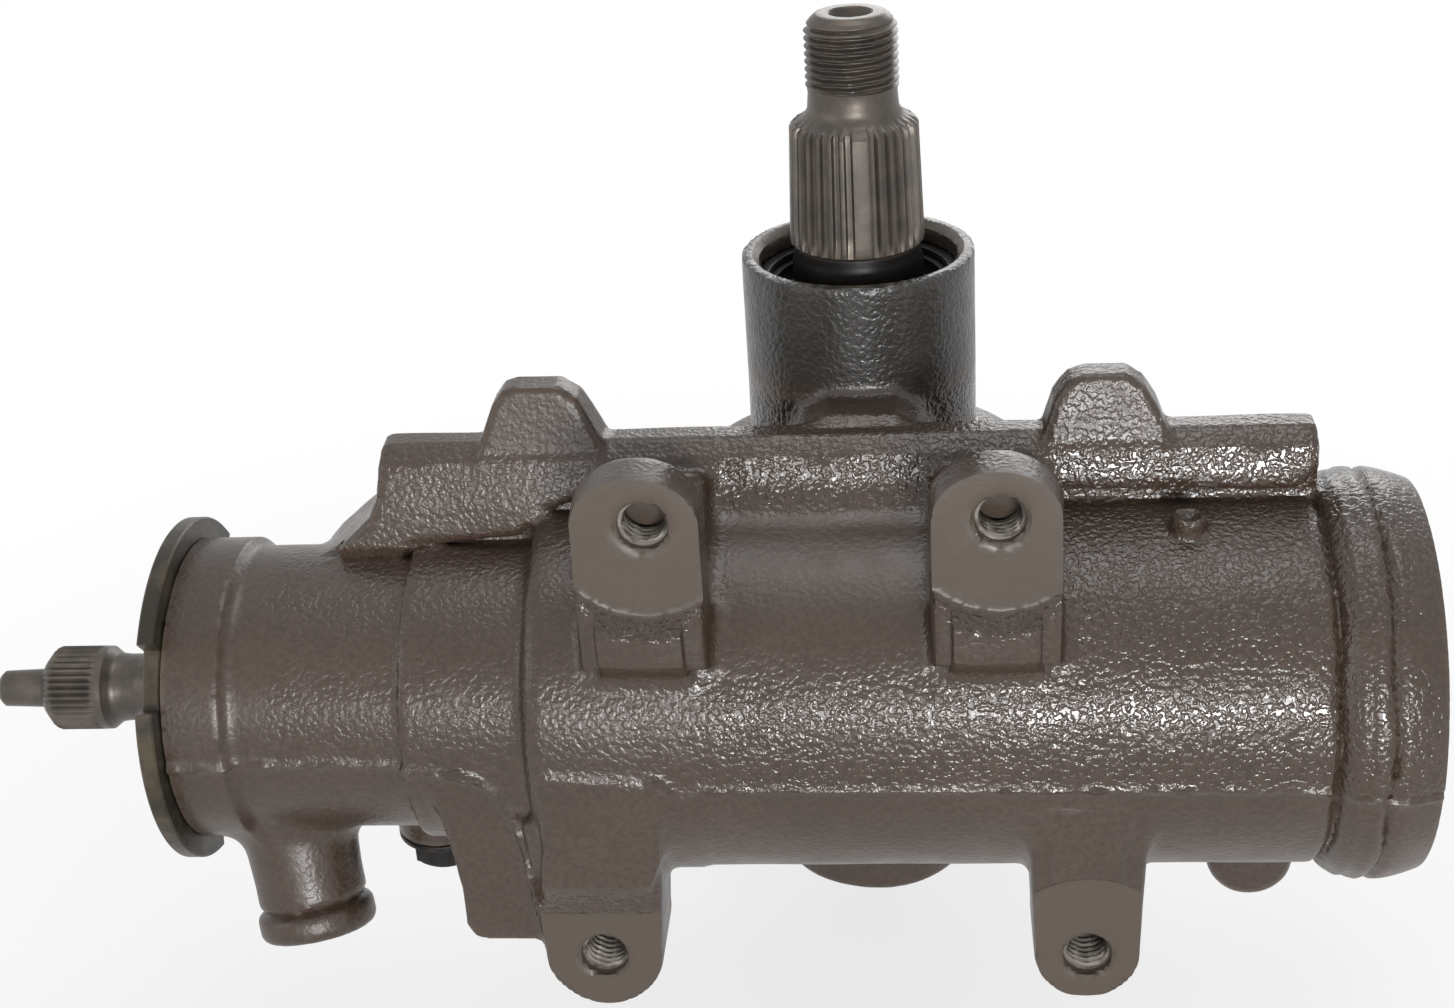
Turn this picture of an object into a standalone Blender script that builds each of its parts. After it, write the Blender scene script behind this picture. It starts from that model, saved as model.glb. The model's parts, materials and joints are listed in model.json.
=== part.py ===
"""Integral power-steering gearbox, recirculating-ball type, as an assembly of separate pieces.

Everything is laid out about two lines that cross at right angles and never meet: the worm axis
(along X, input stub at -X, end plug at +X) and the pitman shaft axis (along Z, output end up).
Mounting pads face -Y. Units in the script are millimetres, turned into metres when a mesh is made.
"""
import math

import bmesh
import bpy
from mathutils import Matrix, Vector

MM = 0.001

# Fits
SEAT_GAP = 0.3          # between two pieces that seat on each other
RUNNING_GAP = 0.4       # between a turning or sliding piece and its bore
FLANK_GAP = 0.3         # total play of a gear tooth in its space
RING_GAP = 0.1          # between the piston's ring and the cylinder
CUT_PAST = 3.0          # how far a cutter runs past the face that it opens

# Layout
PITMAN_Y = 54.0         # distance between the worm axis and the pitman shaft axis
PAD_FACE_Y = -40.0      # machined plane of the four mounting pads
GASKET_Z = -45.7        # joint face between housing and side cover

# Housing, turned forms along the worm axis
VALVE_END_X = -160.6
VALVE_BAND_R = 36.2
VALVE_BAND_LENGTH = 14.6
VALVE_R = 34.3
VALVE_STEP_X = -102.5
NECK_R = 36.9
MAIN_START_X = -75.0
MAIN_R = 44.5
END_BAND_X = 103.5
END_BAND_R = 45.7
FLANGE_X = 114.5
FLANGE_R = 48.5
FLANGE_END_X = 126.0
FLANGE_ROUND = 2.5

# Housing, bores
VALVE_BORE_R = 26.0
PARTITION_X = -79.2
PARTITION_BORE_R = 16.0
PARTITION_THICK = 8.2
CYLINDER_BORE_R = 40.0
CYLINDER_END_X = 103.8
PLUG_BORE_R = 41.8
GEAR_CAVITY_R = 33.0
GEAR_CAVITY_TOP_Z = 24.0
BEARING_BORE_R = 20.8
SEAL_BORE_R = 24.2
SEAL_BORE_Z = 62.0

# Housing, pitman boss and gear chamber
BOSS_R = 28.3
BOSS_TOP_Z = 89.3
CHAMBER_R = 47.0
CHAMBER_TOP_Z = 37.0

# Housing, gallery rail along the top with its two lugs
RAIL_LEFT_X = -109.5
RAIL_RIGHT_X = 104.0
RAIL_FRONT_Y = 4.0
RAIL_BACK_Y = 17.0
RAIL_TOP_Z = 60.5
LUG_TOP_Z = 73.7
LUG_CENTRES_X = (-72.7, 55.8)
LUG_WIDTH = 28.0
LUG_THICK = 12.0
ARCH_R = 16.0
NUB_X = 73.5
NUB_R = 3.0
NUB_HEIGHT = 47.2
NUB_LEAN = math.radians(13.0)
REAR_LUG_X = 95.7
REAR_LUG_R = 10.8
REAR_LUG_Z = -64.5
REAR_LUG_FRONT_Y = 13.5
REAR_LUG_THICK = 12.0

# Mounting pads and ears
MOUNT_HOLE_R = 4.7
MOUNT_CHAMFER = 1.8
MOUNT_HOLE_DEPTH = 20.0
DRILL_POINT = 2.4
UPPER_HOLES_X = (-45.0, 30.9)
UPPER_HOLE_Z = 61.6
UPPER_PAD_SHIFT = (-2.2, -0.6)
UPPER_PAD_R = 14.0
UPPER_PAD_BACK_Y = 9.0
LOWER_HOLES_X = (-62.3, 50.6)
LOWER_HOLE_Z = -51.6
LOWER_EAR_SHIFT = (1.2, 0.0)
LOWER_EAR_R = (14.6, 13.4)
LOWER_EAR_BACK_Y = -16.0
LOWER_EAR_ROOT_Z = -16.0
SPOT_FACE_R = 21.0
PEDESTAL_PROUD = 4.6        # how far a pedestal stands proud of the machined pads
PEDESTAL_HALF = 9.8
EAR_BLOCK_HALF = (15.9, 9.4)
EAR_BLOCK_FOOT_Z = (-38.5, -34.5)
EAR_BLOCK_TOP_Z = -1.0
GUSSET_Y = -36.2
GUSSET_LEFT_X = -98.5
GUSSET_BOTTOM_Z = -48.0
GUSSET_ROUND = 7.0

# Side cover
COVER_GASKET = 1.0
COVER_FLANGE = 16.0
COVER_BOSS_R = 25.0
COVER_BOTTOM_Z = -83.5
COVER_BOLT_X = 42.0
COVER_BOLT_Y = 30.0
COVER_BOLT_GRIP = 9.0       # tapped depth in the housing, short of the cylinder bore
COVER_LOBE_R = 11.5
COVER_LOBE_HEIGHT = 20.0
COVER_BOLT_R = 4.6
COVER_BOLT_HEAD = 9.5
COVER_BOLT_FLANGE_R = 9.8
COVER_BOLT_AF = 14.3
COVER_PILOT_R = 20.2
COVER_PILOT_TOP_Z = -23.0
COVER_SPIGOT = 4.8
BUSH_R = 19.0
LASH_SCREW_R = 5.0
LASH_HEAD_R = 8.8
LASH_SCREW_END_Z = -97.0
LASH_KEY_AF = 4.8
LASH_NUT_AF = 19.0
LASH_NUT_THICK = 8.0

# Ball screw
LEAD = 11.11
BALL_R = 3.572
BALL_TRACK_R = 13.3
GROOVE_R = 3.9
WORM_R = 12.4
NUT_BORE_R = 14.2
BALL_TURNS = 2
BALL_COUNT = 16
CIRCUIT_X = -24.0
WORM_END_X = 25.0
WORM_TURNS_BEFORE = 3
WORM_TURNS = 7
SCREW_SIDES = 16

# Ball return
GUIDE_R = 4.5
GUIDE_BEND_R = 5.0
GUIDE_FLOOR_Y = -24.0
GUIDE_POCKET_HALF = 14.0
GUIDE_POCKET_END = 15.5
CLAMP_THICK = 1.6
CLAMP_HALF = 5.0
CLAMP_REACH = 14.0
CLAMP_SCREW_REACH = 10.2
CLAMP_SCREW_R = 2.0
CLAMP_SCREW_HEAD_R = 3.2
CLAMP_SCREW_LENGTH = 5.0

# Rack and sector gear
SECTOR_PITCH_R = 24.7
CIRCULAR_PITCH = 15.0
PRESSURE_ANGLE = math.radians(25.0)
SECTOR_ADDENDUM = 3.8
RACK_ADDENDUM = 3.55
ROOT_CLEARANCE = 0.8
SECTOR_TEETH = 3
SECTOR_HALF_WIDTH = 20.0
PISTON_LEFT_X = -50.0
PISTON_RIGHT_X = 62.0
PISTON_EDGE = 1.5
RACK_FLAT_HALF = 31.0
PISTON_RING_X = 50.0
PISTON_RING_W = 3.0
PISTON_RING_DEPTH = 3.0
PISTON_PLUG_LENGTH = 11.0
PISTON_PLUG_R = 18.0
PLUG_SQUARE = 12.8
PLUG_SQUARE_DEPTH = 7.5

# Pitman shaft
SHAFT_R = 15.9
SHAFT_TOP_Z = 147.2
THREAD_R = 11.1
THREAD_BOTTOM_Z = 128.3
THREAD_RELIEF = 0.9
SPLINE_TOP_Z = 121.4
SPLINE_TOP_R = 15.4
SPLINE_BOTTOM_Z = 93.0
SPLINE_BOTTOM_R = 16.3
SPLINE_DEPTH = 1.1
SPLINE_COUNT = 32
WIDE_SPLINES = (0, 8, 16, 24)
CENTRE_HOLE_R = 5.1
SHAFT_BOTTOM_Z = -66.0
SLOT_NECK_HALF = 6.0
SLOT_LIP = 4.0
SLOT_HEIGHT = 5.0

# Pitman seals and bearing, bottom to top
NEEDLE_BOTTOM_Z = 27.0
NEEDLE_TOP_Z = 58.0
INNER_SEAL_THICK = 7.2
BACKUP_WASHER_THICK = 1.8
OUTER_SEAL_THICK = 8.5
OUTER_SEAL_SHORT = 0.8
SEAL_WASHER_THICK = 1.1
SEAL_WASHER_BORE_R = 20.2
PITMAN_RING_THICK = 1.6
PITMAN_RING_BITE = 1.3
PITMAN_RING_WIDTH = 3.4
RING_MOUTH = 6.0

# Input stub
STUB_TIP_X = -213.3
STUB_PILOT_R = 4.7
STUB_PILOT_LENGTH = 12.0
STUB_SERRATION_R = 10.3
STUB_SERRATION_START_X = -198.2
STUB_SERRATION_END_X = -187.3
STUB_SERRATIONS = 36
SERRATION_DEPTH = 0.75
STUB_COLLAR = 2.4
STUB_NECK_R = 8.2
STUB_NECK_END_X = -176.5
STUB_R = 9.6
TORSION_BAR_R = 3.4
TORSION_BAR_WAIST = 1.0
TORSION_BAR_GRIP = 10.0
TORSION_BAR_LEFT_X = -183.7

# Valve
LOCK_RING_R = 41.6
LOCK_RING_THICK = 4.0
LOCK_RING_NOTCH = 15.8
LOCK_RING_NOTCH_DEPTH = 5.6
LOCK_RING_NOTCHES = (147.0, 27.0, -93.0)
ADJUSTER_R = 30.2
ADJUSTER_PROUD = 1.6
ADJUSTER_THREAD = 17.0
SEAL_POCKET_R = 17.2
NEEDLE_POCKET_R = 13.6
STUB_RING_DEPTH = 1.2
STUB_RING_THICK = 1.6
STUB_RING_BORE_R = 12.6
DUST_SEAL_THICK = 2.3
STUB_SEAL_THICK = 4.6
SHELF_THICK = 1.4
UPPER_THRUST_THICK = 4.7
UPPER_THRUST_R = 25.0
UPPER_THRUST_BORE_R = 17.4
VALVE_BODY_R = 25.5
SPOOL_R = 17.0
SPOOL_INSET = 2.0
SPOOL_SHORT = 12.0
SPOOL_GROOVE = 1.2
VALVE_GROOVE = 2.6
VALVE_LANDS = 3
VALVE_LEFT_X = -133.0
VALVE_RIGHT_X = -92.5
HEAD_R = 24.0
HEAD_BOSS_R = 9.0
HEAD_BOSS_LENGTH = 9.0
HEAD_END_GAP = 6.0
JOURNAL_R = 15.0
LOWER_THRUST_R = 23.4
BAR_SEAT = 5.0

# Round rubber rings
O_RING_HALF = 1.2
O_RING_GROOVE_DEPTH = 2.6
O_RING_GROOVE_WIDTH = 3.6

# Cylinder end plug
END_PLUG_GROOVE_X = 108.6
END_PLUG_RECESS = 3.6
END_PLUG_RECESS_R = (17.0, 31.0)
END_PLUG_BOSS_X = 119.5
END_PLUG_SQUARE = 13.0
END_PLUG_SQUARE_DEPTH = 9.5
END_RING_X = 118.5
END_RING_THICK = 2.1
END_RING_BITE = 1.6
END_RING_WIDTH = 3.8

# Ports
PORT_START = (-146.0, 0.0, 0.0)
PORT_DIRECTION = (0.17, -0.36, -1.0)
PORT_BOSS_R = 12.3
PORT_CAP_R = 13.6
PORT_SEAM = 56.0
PORT_END = 62.5
PORT_HOLE_R = 7.2
PORT_DEPTH = 16.5
PORT_PASSAGE_R = 4.0
PORT_SEAT_BORE_R = 2.4
PORT_SEAT_LENGTH = 6.7
PLUG_PORT_X = -108.5
PLUG_PORT_Y = 6.0
PLUG_PORT_FACE_Z = -44.2
PLUG_PORT_R = 11.5
PLUG_PORT_HOLE_R = 6.8
PLUG_PORT_DEPTH = 10.2
PLUG_PORT_PASSAGE_R = 3.5
PORT_PLUG_FLANGE_R = 11.6
PORT_PLUG_FLANGE = 1.9
PORT_PLUG_HEAD_AF = 16.0
PORT_PLUG_HEAD = 7.2

# How finely round pieces are faceted
SMOOTH_ANGLE = math.radians(32.0)
LARGE_SIDES = 20
MEDIUM_SIDES = 16
SMALL_SIDES = 12
TINY_SIDES = 8
LOCK_RING_SIDES = 36

COVER_CORNERS = ((-1, -1), (1, -1), (1, 1), (-1, 1))
FLAT_TOOTH = ((-0.22, 0.0), (0.16, 0.0), (0.47, 1.0))
SHARP_TOOTH = ((0.0, 0.0), (0.5, 1.0))
AXES = {
    "X": (Vector((1, 0, 0)), Vector((0, 1, 0)), Vector((0, 0, 1))),
    "Y": (Vector((0, 1, 0)), Vector((0, 0, 1)), Vector((1, 0, 0))),
    "Z": (Vector((0, 0, 1)), Vector((1, 0, 0)), Vector((0, 1, 0))),
}


def clear_scene():
    for item in list(bpy.data.objects):
        bpy.data.objects.remove(item, do_unlink=True)


def material(name, colour, roughness, metallic):
    """One Principled finish; colour is linear red, green, blue."""
    found = bpy.data.materials.get(name)
    if found:
        return found
    made = bpy.data.materials.new(name)
    made.use_nodes = True
    shader = made.node_tree.nodes["Principled BSDF"]
    shader.inputs["Base Color"].default_value = (*colour, 1.0)
    shader.inputs["Roughness"].default_value = roughness
    shader.inputs["Metallic"].default_value = metallic
    made.diffuse_color = (*colour, 1.0)
    return made


def cast_paint():
    return material("cast_paint", (0.105, 0.082, 0.068), 0.42, 0.35)


def painted_steel():
    return material("painted_steel", (0.075, 0.066, 0.055), 0.38, 0.5)


def shaft_steel():
    return material("shaft_steel", (0.13, 0.12, 0.11), 0.35, 0.9)


def bearing_steel():
    return material("bearing_steel", (0.45, 0.45, 0.46), 0.22, 1.0)


def seal_rubber():
    return material("seal_rubber", (0.018, 0.018, 0.020), 0.75, 0.0)


def bronze():
    return material("bronze", (0.42, 0.26, 0.10), 0.35, 1.0)


def dark_hardware():
    return material("dark_hardware", (0.045, 0.042, 0.040), 0.45, 0.7)


def gasket_fibre():
    return material("gasket_fibre", (0.16, 0.12, 0.08), 0.85, 0.0)


class Assembly:
    """The empty that carries every piece, and the ways to link a piece or a cutter to it."""

    def __init__(self, origin):
        self.root = bpy.data.objects.new("gearbox", None)
        self.root.location = Vector(origin) * MM
        bpy.context.scene.collection.objects.link(self.root)

    def add(self, name, mesh, finish=None, at=(0, 0, 0)):
        """Link a mesh as one named piece; `at` is its origin, which its vertices are given about."""
        piece = bpy.data.objects.new(name, mesh)
        bpy.context.scene.collection.objects.link(piece)
        piece.parent = self.root
        piece.location = Vector(at) * MM
        if finish:
            mesh.materials.append(finish)
        return piece

    def guide(self, name, mesh, at=(0, 0, 0)):
        """A cutter or an added form: shown as wire, never rendered."""
        shape = self.add(name, mesh, at=at)
        shape.display_type = 'WIRE'
        shape.hide_render = True
        return shape


def finish_mesh(name, bm):
    """Turn the faces outward, scale millimetres to metres and shade round runs smooth."""
    bmesh.ops.recalc_face_normals(bm, faces=bm.faces)
    bmesh.ops.scale(bm, vec=(MM, MM, MM), verts=bm.verts)
    mesh = bpy.data.meshes.new(name)
    bm.to_mesh(mesh)
    bm.free()
    mesh.shade_smooth()
    mesh.set_sharp_from_angle(angle=SMOOTH_ANGLE)
    return mesh


def turned(name, profile, axis="X", sides=LARGE_SIDES, closed=False):
    """Spin (along, radius) points about an axis; a closed profile makes a ring, an open one a solid."""
    along, across, up = AXES[axis]
    angles = [2 * math.pi * k / sides for k in range(sides)]
    bm = bmesh.new()
    rings = []
    for s, r in profile:
        if r == 0.0:
            rings.append([bm.verts.new(along * s)])
            continue
        rings.append([bm.verts.new(along * s + across * (r * math.cos(a)) + up * (r * math.sin(a)))
                      for a in angles])
    pairs = list(zip(rings, rings[1:]))
    if closed:
        pairs.append((rings[-1], rings[0]))
    for first, second in pairs:
        for k in range(sides):
            a, b = first[k % len(first)], first[(k + 1) % sides % len(first)]
            c, d = second[(k + 1) % sides % len(second)], second[k % len(second)]
            corners = list(dict.fromkeys((a, b, c, d)))
            if len(corners) > 2:
                bm.faces.new(corners)
    if not closed:
        for ring in (rings[0], rings[-1]):
            if len(ring) > 1:
                bm.faces.new(ring)
    return finish_mesh(name, bm)


def tube(name, start, end, inner, outer, axis="X", sides=MEDIUM_SIDES):
    """A plain ring of rectangular section."""
    profile = [(start, inner), (start, outer), (end, outer), (end, inner)]
    return turned(name, profile, axis, sides, closed=True)


def rod(name, start, end, radius, axis="X", sides=SMALL_SIDES, chamfer=0.0):
    """A plain bar; a chamfer breaks both of its end edges."""
    profile = [(start, radius - chamfer)]
    if chamfer:
        profile.append((start + chamfer, radius))
        profile.append((end - chamfer, radius))
    profile.append((end, radius - chamfer))
    return turned(name, profile, axis, sides)


def arc(cx, cy, radius, start, end, steps):
    """Points on an arc; angles in degrees."""
    points = []
    for k in range(steps + 1):
        a = math.radians(start + (end - start) * k / steps)
        points.append((cx + radius * math.cos(a), cy + radius * math.sin(a)))
    return points


def hexagon(across_flats, turn=0.0):
    radius = across_flats / 2 / math.cos(math.pi / 6)
    return arc(0, 0, radius, turn, turn + 300, 5)


def square_outline(side):
    half = side / 2
    return [(-half, -half), (half, -half), (half, half), (-half, half)]


def rubber_ring(name, groove_start, outer):
    """A round rubber ring in the middle of its groove; its section is a hexagon."""
    middle = groove_start + O_RING_GROOVE_WIDTH / 2
    section = arc(middle, outer - O_RING_GROOVE_DEPTH / 2, O_RING_HALF, 0, 300, 5)
    return turned(name, section, closed=True)


def prism(name, outline, low, high, plane="XZ"):
    """Extrude a closed outline; plane XZ runs along Y, YZ along X and XY along Z."""
    place = {
        "XZ": lambda a, b, t: (a, t, b),
        "YZ": lambda a, b, t: (t, a, b),
        "XY": lambda a, b, t: (a, b, t),
    }[plane]
    bm = bmesh.new()
    bottom = [bm.verts.new(place(a, b, low)) for a, b in outline]
    top = [bm.verts.new(place(a, b, high)) for a, b in outline]
    count = len(outline)
    for k in range(count):
        bm.faces.new((bottom[k], bottom[(k + 1) % count], top[(k + 1) % count], top[k]))
    bm.faces.new(bottom)
    bm.faces.new(top)
    return finish_mesh(name, bm)


def boolean(piece, operation, shapes):
    for shape in shapes:
        step = piece.modifiers.new(operation.lower() + "_" + shape.name, 'BOOLEAN')
        step.operation = operation
        step.solver = 'EXACT'
        step.object = shape


def rounded_tongue(cx, cz, radius, root_z):
    """Outline of a tongue: a half circle about the hole and straight sides to the root."""
    if root_z > cz:
        return [(cx - radius, root_z)] + arc(cx, cz, radius, 180, 360, 8) + [(cx + radius, root_z)]
    return [(cx + radius, root_z)] + arc(cx, cz, radius, 0, 180, 8) + [(cx - radius, root_z)]


def housing_profile():
    """Outer outline of the casting along the worm axis, from the valve end to the flange."""
    band_end = VALVE_END_X + VALVE_BAND_LENGTH
    edge = FLANGE_ROUND * 0.3
    return [
        (VALVE_END_X, VALVE_BAND_R - 2.0),
        (VALVE_END_X + 2.0, VALVE_BAND_R),
        (band_end, VALVE_BAND_R),
        (band_end + 7.0, VALVE_R),
        (VALVE_STEP_X - 1.0, VALVE_R),
        (VALVE_STEP_X + 1.6, NECK_R),
        (MAIN_START_X - 3.5, NECK_R),
        (MAIN_START_X - 0.8, MAIN_R - 3.6),
        (MAIN_START_X + 3.5, MAIN_R),
        (END_BAND_X - 1.0, MAIN_R),
        (END_BAND_X + 1.5, END_BAND_R),
        (FLANGE_X - 0.8, END_BAND_R),
        (FLANGE_X + 1.0, FLANGE_R),
        (FLANGE_END_X - FLANGE_ROUND, FLANGE_R),
        (FLANGE_END_X - edge, FLANGE_R - edge),
        (FLANGE_END_X, FLANGE_R - FLANGE_ROUND),
    ]


def rail_mesh():
    """Oil gallery rail: one section carried along X, its left end slanting down to the valve barrel."""
    section = [
        (RAIL_FRONT_Y - 4.0, RAIL_TOP_Z - 29.5, RAIL_LEFT_X - 20.0),
        (RAIL_FRONT_Y - 2.8, RAIL_TOP_Z - 14.5, RAIL_LEFT_X - 6.0),
        (RAIL_FRONT_Y - 0.4, RAIL_TOP_Z - 3.0, RAIL_LEFT_X - 1.5),
        (RAIL_FRONT_Y + 2.6, RAIL_TOP_Z, RAIL_LEFT_X),
        (RAIL_BACK_Y - 3.0, RAIL_TOP_Z, RAIL_LEFT_X),
        (RAIL_BACK_Y, RAIL_TOP_Z - 4.0, RAIL_LEFT_X - 1.5),
        (RAIL_BACK_Y + 3.0, RAIL_TOP_Z - 16.5, RAIL_LEFT_X - 6.0),
        (RAIL_BACK_Y + 6.0, RAIL_TOP_Z - 32.5, RAIL_LEFT_X - 20.0),
    ]
    bm = bmesh.new()
    left = [bm.verts.new((x, y, z)) for y, z, x in section]
    right = [bm.verts.new((RAIL_RIGHT_X, y, z)) for y, z, x in section]
    count = len(section)
    for k in range(count):
        bm.faces.new((left[k], left[(k + 1) % count], right[(k + 1) % count], right[k]))
    bm.faces.new(left)
    bm.faces.new(right)
    bmesh.ops.triangulate(bm, faces=[f for f in bm.faces if len(f.verts) > 4])
    return finish_mesh("rail", bm)


def lug_outline(cx):
    """A rail lug seen from the front: sloping sides, the right shoulder rounder than the left."""
    half = LUG_WIDTH / 2
    root = RAIL_TOP_Z - 8.5
    shoulder = RAIL_TOP_Z + 0.5
    right = [(cx + half + 1.5, root), (cx + half + 1.0, shoulder)]
    right += arc(cx + half - 9.0, LUG_TOP_Z - 8.0, 8.0, 12, 90, 4)
    left = arc(cx - half + 9.0, LUG_TOP_Z - 6.0, 6.0, 90, 158, 3)
    left += [(cx - half - 1.0, shoulder), (cx - half - 3.0, root)]
    return right + left


def on_port_axis(mesh):
    """Turn a form that was spun about X onto the return port's slanting axis."""
    direction = Vector(PORT_DIRECTION).normalized()
    mesh.transform(direction.to_track_quat('X', 'Z').to_matrix().to_4x4())
    return mesh


def cover_corner_places():
    """Centres of the four side cover bolts."""
    return [(sx * COVER_BOLT_X, PITMAN_Y + sy * COVER_BOLT_Y, 0) for sx, sy in COVER_CORNERS]


def chamber_forms(assembly):
    """Pitman boss, gear chamber, the neck that joins it to the cylinder, and the arch before the boss."""
    pitman = (0, PITMAN_Y, 0)
    boss = [
        (10.0, BOSS_R + 3.5),
        (CHAMBER_TOP_Z + 2.0, BOSS_R + 3.0),
        (CHAMBER_TOP_Z + 9.0, BOSS_R + 0.6),
        (CHAMBER_TOP_Z + 16.0, BOSS_R),
        (BOSS_TOP_Z - 0.8, BOSS_R),
        (BOSS_TOP_Z, BOSS_R - 0.8),
    ]
    chamber = [
        (GASKET_Z, CHAMBER_R - 1.0),
        (GASKET_Z + 1.0, CHAMBER_R),
        (CHAMBER_TOP_Z - 9.0, CHAMBER_R),
        (CHAMBER_TOP_Z - 3.0, CHAMBER_R - 4.0),
        (CHAMBER_TOP_Z, CHAMBER_R - 11.0),
    ]
    neck = [
        (-CHAMBER_R + 0.4, PITMAN_Y),
        (-CHAMBER_R - 7.0, RAIL_FRONT_Y),
        (CHAMBER_R + 7.0, RAIL_FRONT_Y),
        (CHAMBER_R - 0.4, PITMAN_Y),
    ]
    arch_foot = RAIL_TOP_Z - 20.5
    arch = [(ARCH_R + 1.0, arch_foot)] + arc(0, RAIL_TOP_Z - 12.0, ARCH_R, 5, 175, 8)
    arch.append((-ARCH_R - 1.0, arch_foot))
    neck_mesh = prism("neck", neck, GASKET_Z + 9.7, CHAMBER_TOP_Z - 9.5, "XY")
    arch_mesh = prism("arch", arch, RAIL_FRONT_Y + 4.0, PITMAN_Y - 20.0)
    return [
        assembly.guide("form_boss", turned("boss", boss, "Z"), pitman),
        assembly.guide("form_chamber", turned("chamber", chamber, "Z"), pitman),
        assembly.guide("form_neck", neck_mesh),
        assembly.guide("form_arch", arch_mesh),
    ]


def housing_forms(assembly):
    """The cast forms that are fused with the turned body."""
    forms = [assembly.guide("form_rail", rail_mesh())]
    for k, cx in enumerate(LUG_CENTRES_X):
        mesh = prism("lug", lug_outline(cx), RAIL_FRONT_Y - SEAT_GAP, RAIL_FRONT_Y + LUG_THICK)
        forms.append(assembly.guide(f"form_lug_{k}", mesh))
    forms += chamber_forms(assembly)
    for k, place in enumerate(cover_corner_places()):
        lobe = rod("lobe", GASKET_Z, GASKET_Z + COVER_LOBE_HEIGHT, COVER_LOBE_R, "Z")
        forms.append(assembly.guide(f"form_lobe_{k}", lobe, place))
    forms += pad_forms(assembly)
    forms += port_forms(assembly)
    rear_lug = rounded_tongue(REAR_LUG_X, REAR_LUG_Z, REAR_LUG_R, REAR_LUG_Z + 34.5)
    rear_mesh = prism("rear_lug", rear_lug, REAR_LUG_FRONT_Y, REAR_LUG_FRONT_Y + REAR_LUG_THICK)
    forms.append(assembly.guide("form_rear_lug", rear_mesh))
    nub = rod("nub", MAIN_R - 6.5, NUB_HEIGHT, NUB_R, "Z", TINY_SIDES)
    nub.transform(Matrix.Rotation(NUB_LEAN, 4, 'X'))
    forms.append(assembly.guide("form_nub", nub, (NUB_X, 0, 0)))
    return forms


def pad_forms(assembly):
    """Upper pads, lower ears, their pedestals and the gusset beside the left ear."""
    forms = []
    proud_y = PAD_FACE_Y - PEDESTAL_PROUD
    pad_root = MAIN_R / 2
    for k, x in enumerate(UPPER_HOLES_X):
        cx = x + UPPER_PAD_SHIFT[k]
        outline = rounded_tongue(cx, UPPER_HOLE_Z, UPPER_PAD_R, pad_root)
        forms.append(assembly.guide(f"form_pad_{k}", prism("pad", outline, PAD_FACE_Y, UPPER_PAD_BACK_Y)))
        profile = [
            (proud_y, UPPER_HOLE_Z - 17.6),
            (proud_y, UPPER_HOLE_Z - 28.6),
            (PAD_FACE_Y + 3.5, pad_root),
            (PAD_FACE_Y + 20.0, pad_root),
            (PAD_FACE_Y + 20.0, UPPER_HOLE_Z - 17.6),
        ]
        pedestal = prism("pedestal", profile, cx - PEDESTAL_HALF, cx + PEDESTAL_HALF, "YZ")
        forms.append(assembly.guide(f"form_pedestal_{k}", pedestal))
    for k, x in enumerate(LOWER_HOLES_X):
        cx = x + LOWER_EAR_SHIFT[k]
        outline = rounded_tongue(cx, LOWER_HOLE_Z, LOWER_EAR_R[k], LOWER_EAR_ROOT_Z)
        ear = prism("ear", outline, PAD_FACE_Y, LOWER_EAR_BACK_Y)
        forms.append(assembly.guide(f"form_ear_{k}", ear))
        foot = EAR_BLOCK_FOOT_Z[k]
        profile = [
            (proud_y, EAR_BLOCK_TOP_Z),
            (proud_y, foot + 9.0),
            (PAD_FACE_Y, foot),
            (LOWER_EAR_BACK_Y - 2.0, foot),
            (LOWER_EAR_BACK_Y - 2.0, EAR_BLOCK_TOP_Z),
        ]
        block = prism("block", profile, cx - EAR_BLOCK_HALF[k], cx + EAR_BLOCK_HALF[k], "YZ")
        forms.append(assembly.guide(f"form_block_{k}", block))
    right = MAIN_START_X - 3.0
    corner_x = GUSSET_LEFT_X + GUSSET_ROUND + 3.0
    gusset = [(right, -6.0), (right, GUSSET_BOTTOM_Z)]
    gusset += arc(corner_x, GUSSET_BOTTOM_Z + GUSSET_ROUND, GUSSET_ROUND, 270, 180, 4)
    gusset += [(GUSSET_LEFT_X, -20.0), (GUSSET_LEFT_X - 2.0, -8.0), (GUSSET_LEFT_X + 0.5, -4.5)]
    gusset_mesh = prism("gusset", gusset, GUSSET_Y, LOWER_EAR_BACK_Y + 4.0)
    forms.append(assembly.guide("form_gusset", gusset_mesh))
    return forms


def port_forms(assembly):
    """Return port boss with its flared cap, and the short stand of the plugged port."""
    boss = [
        (10.0, PORT_BOSS_R + 1.6),
        (PORT_SEAM - 18.0, PORT_BOSS_R + 1.2),
        (PORT_SEAM - 10.0, PORT_BOSS_R),
        (PORT_SEAM, PORT_BOSS_R),
        (PORT_SEAM + 0.6, PORT_CAP_R),
        (PORT_END - 2.0, PORT_CAP_R),
        (PORT_END, PORT_CAP_R - 2.0),
    ]
    mesh = on_port_axis(turned("port_boss", boss, "X", MEDIUM_SIDES))
    forms = [assembly.guide("form_port", mesh, PORT_START)]
    stand = [
        (PLUG_PORT_FACE_Z, PLUG_PORT_R),
        (PLUG_PORT_FACE_Z + 2.2, PLUG_PORT_R + 1.5),
        (PLUG_PORT_FACE_Z + 34.0, PLUG_PORT_R + 2.0),
    ]
    stand_mesh = turned("plug_port", stand, "Z", SMALL_SIDES)
    forms.append(assembly.guide("form_plug_port", stand_mesh, (PLUG_PORT_X, PLUG_PORT_Y, 0)))
    return forms


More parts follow.
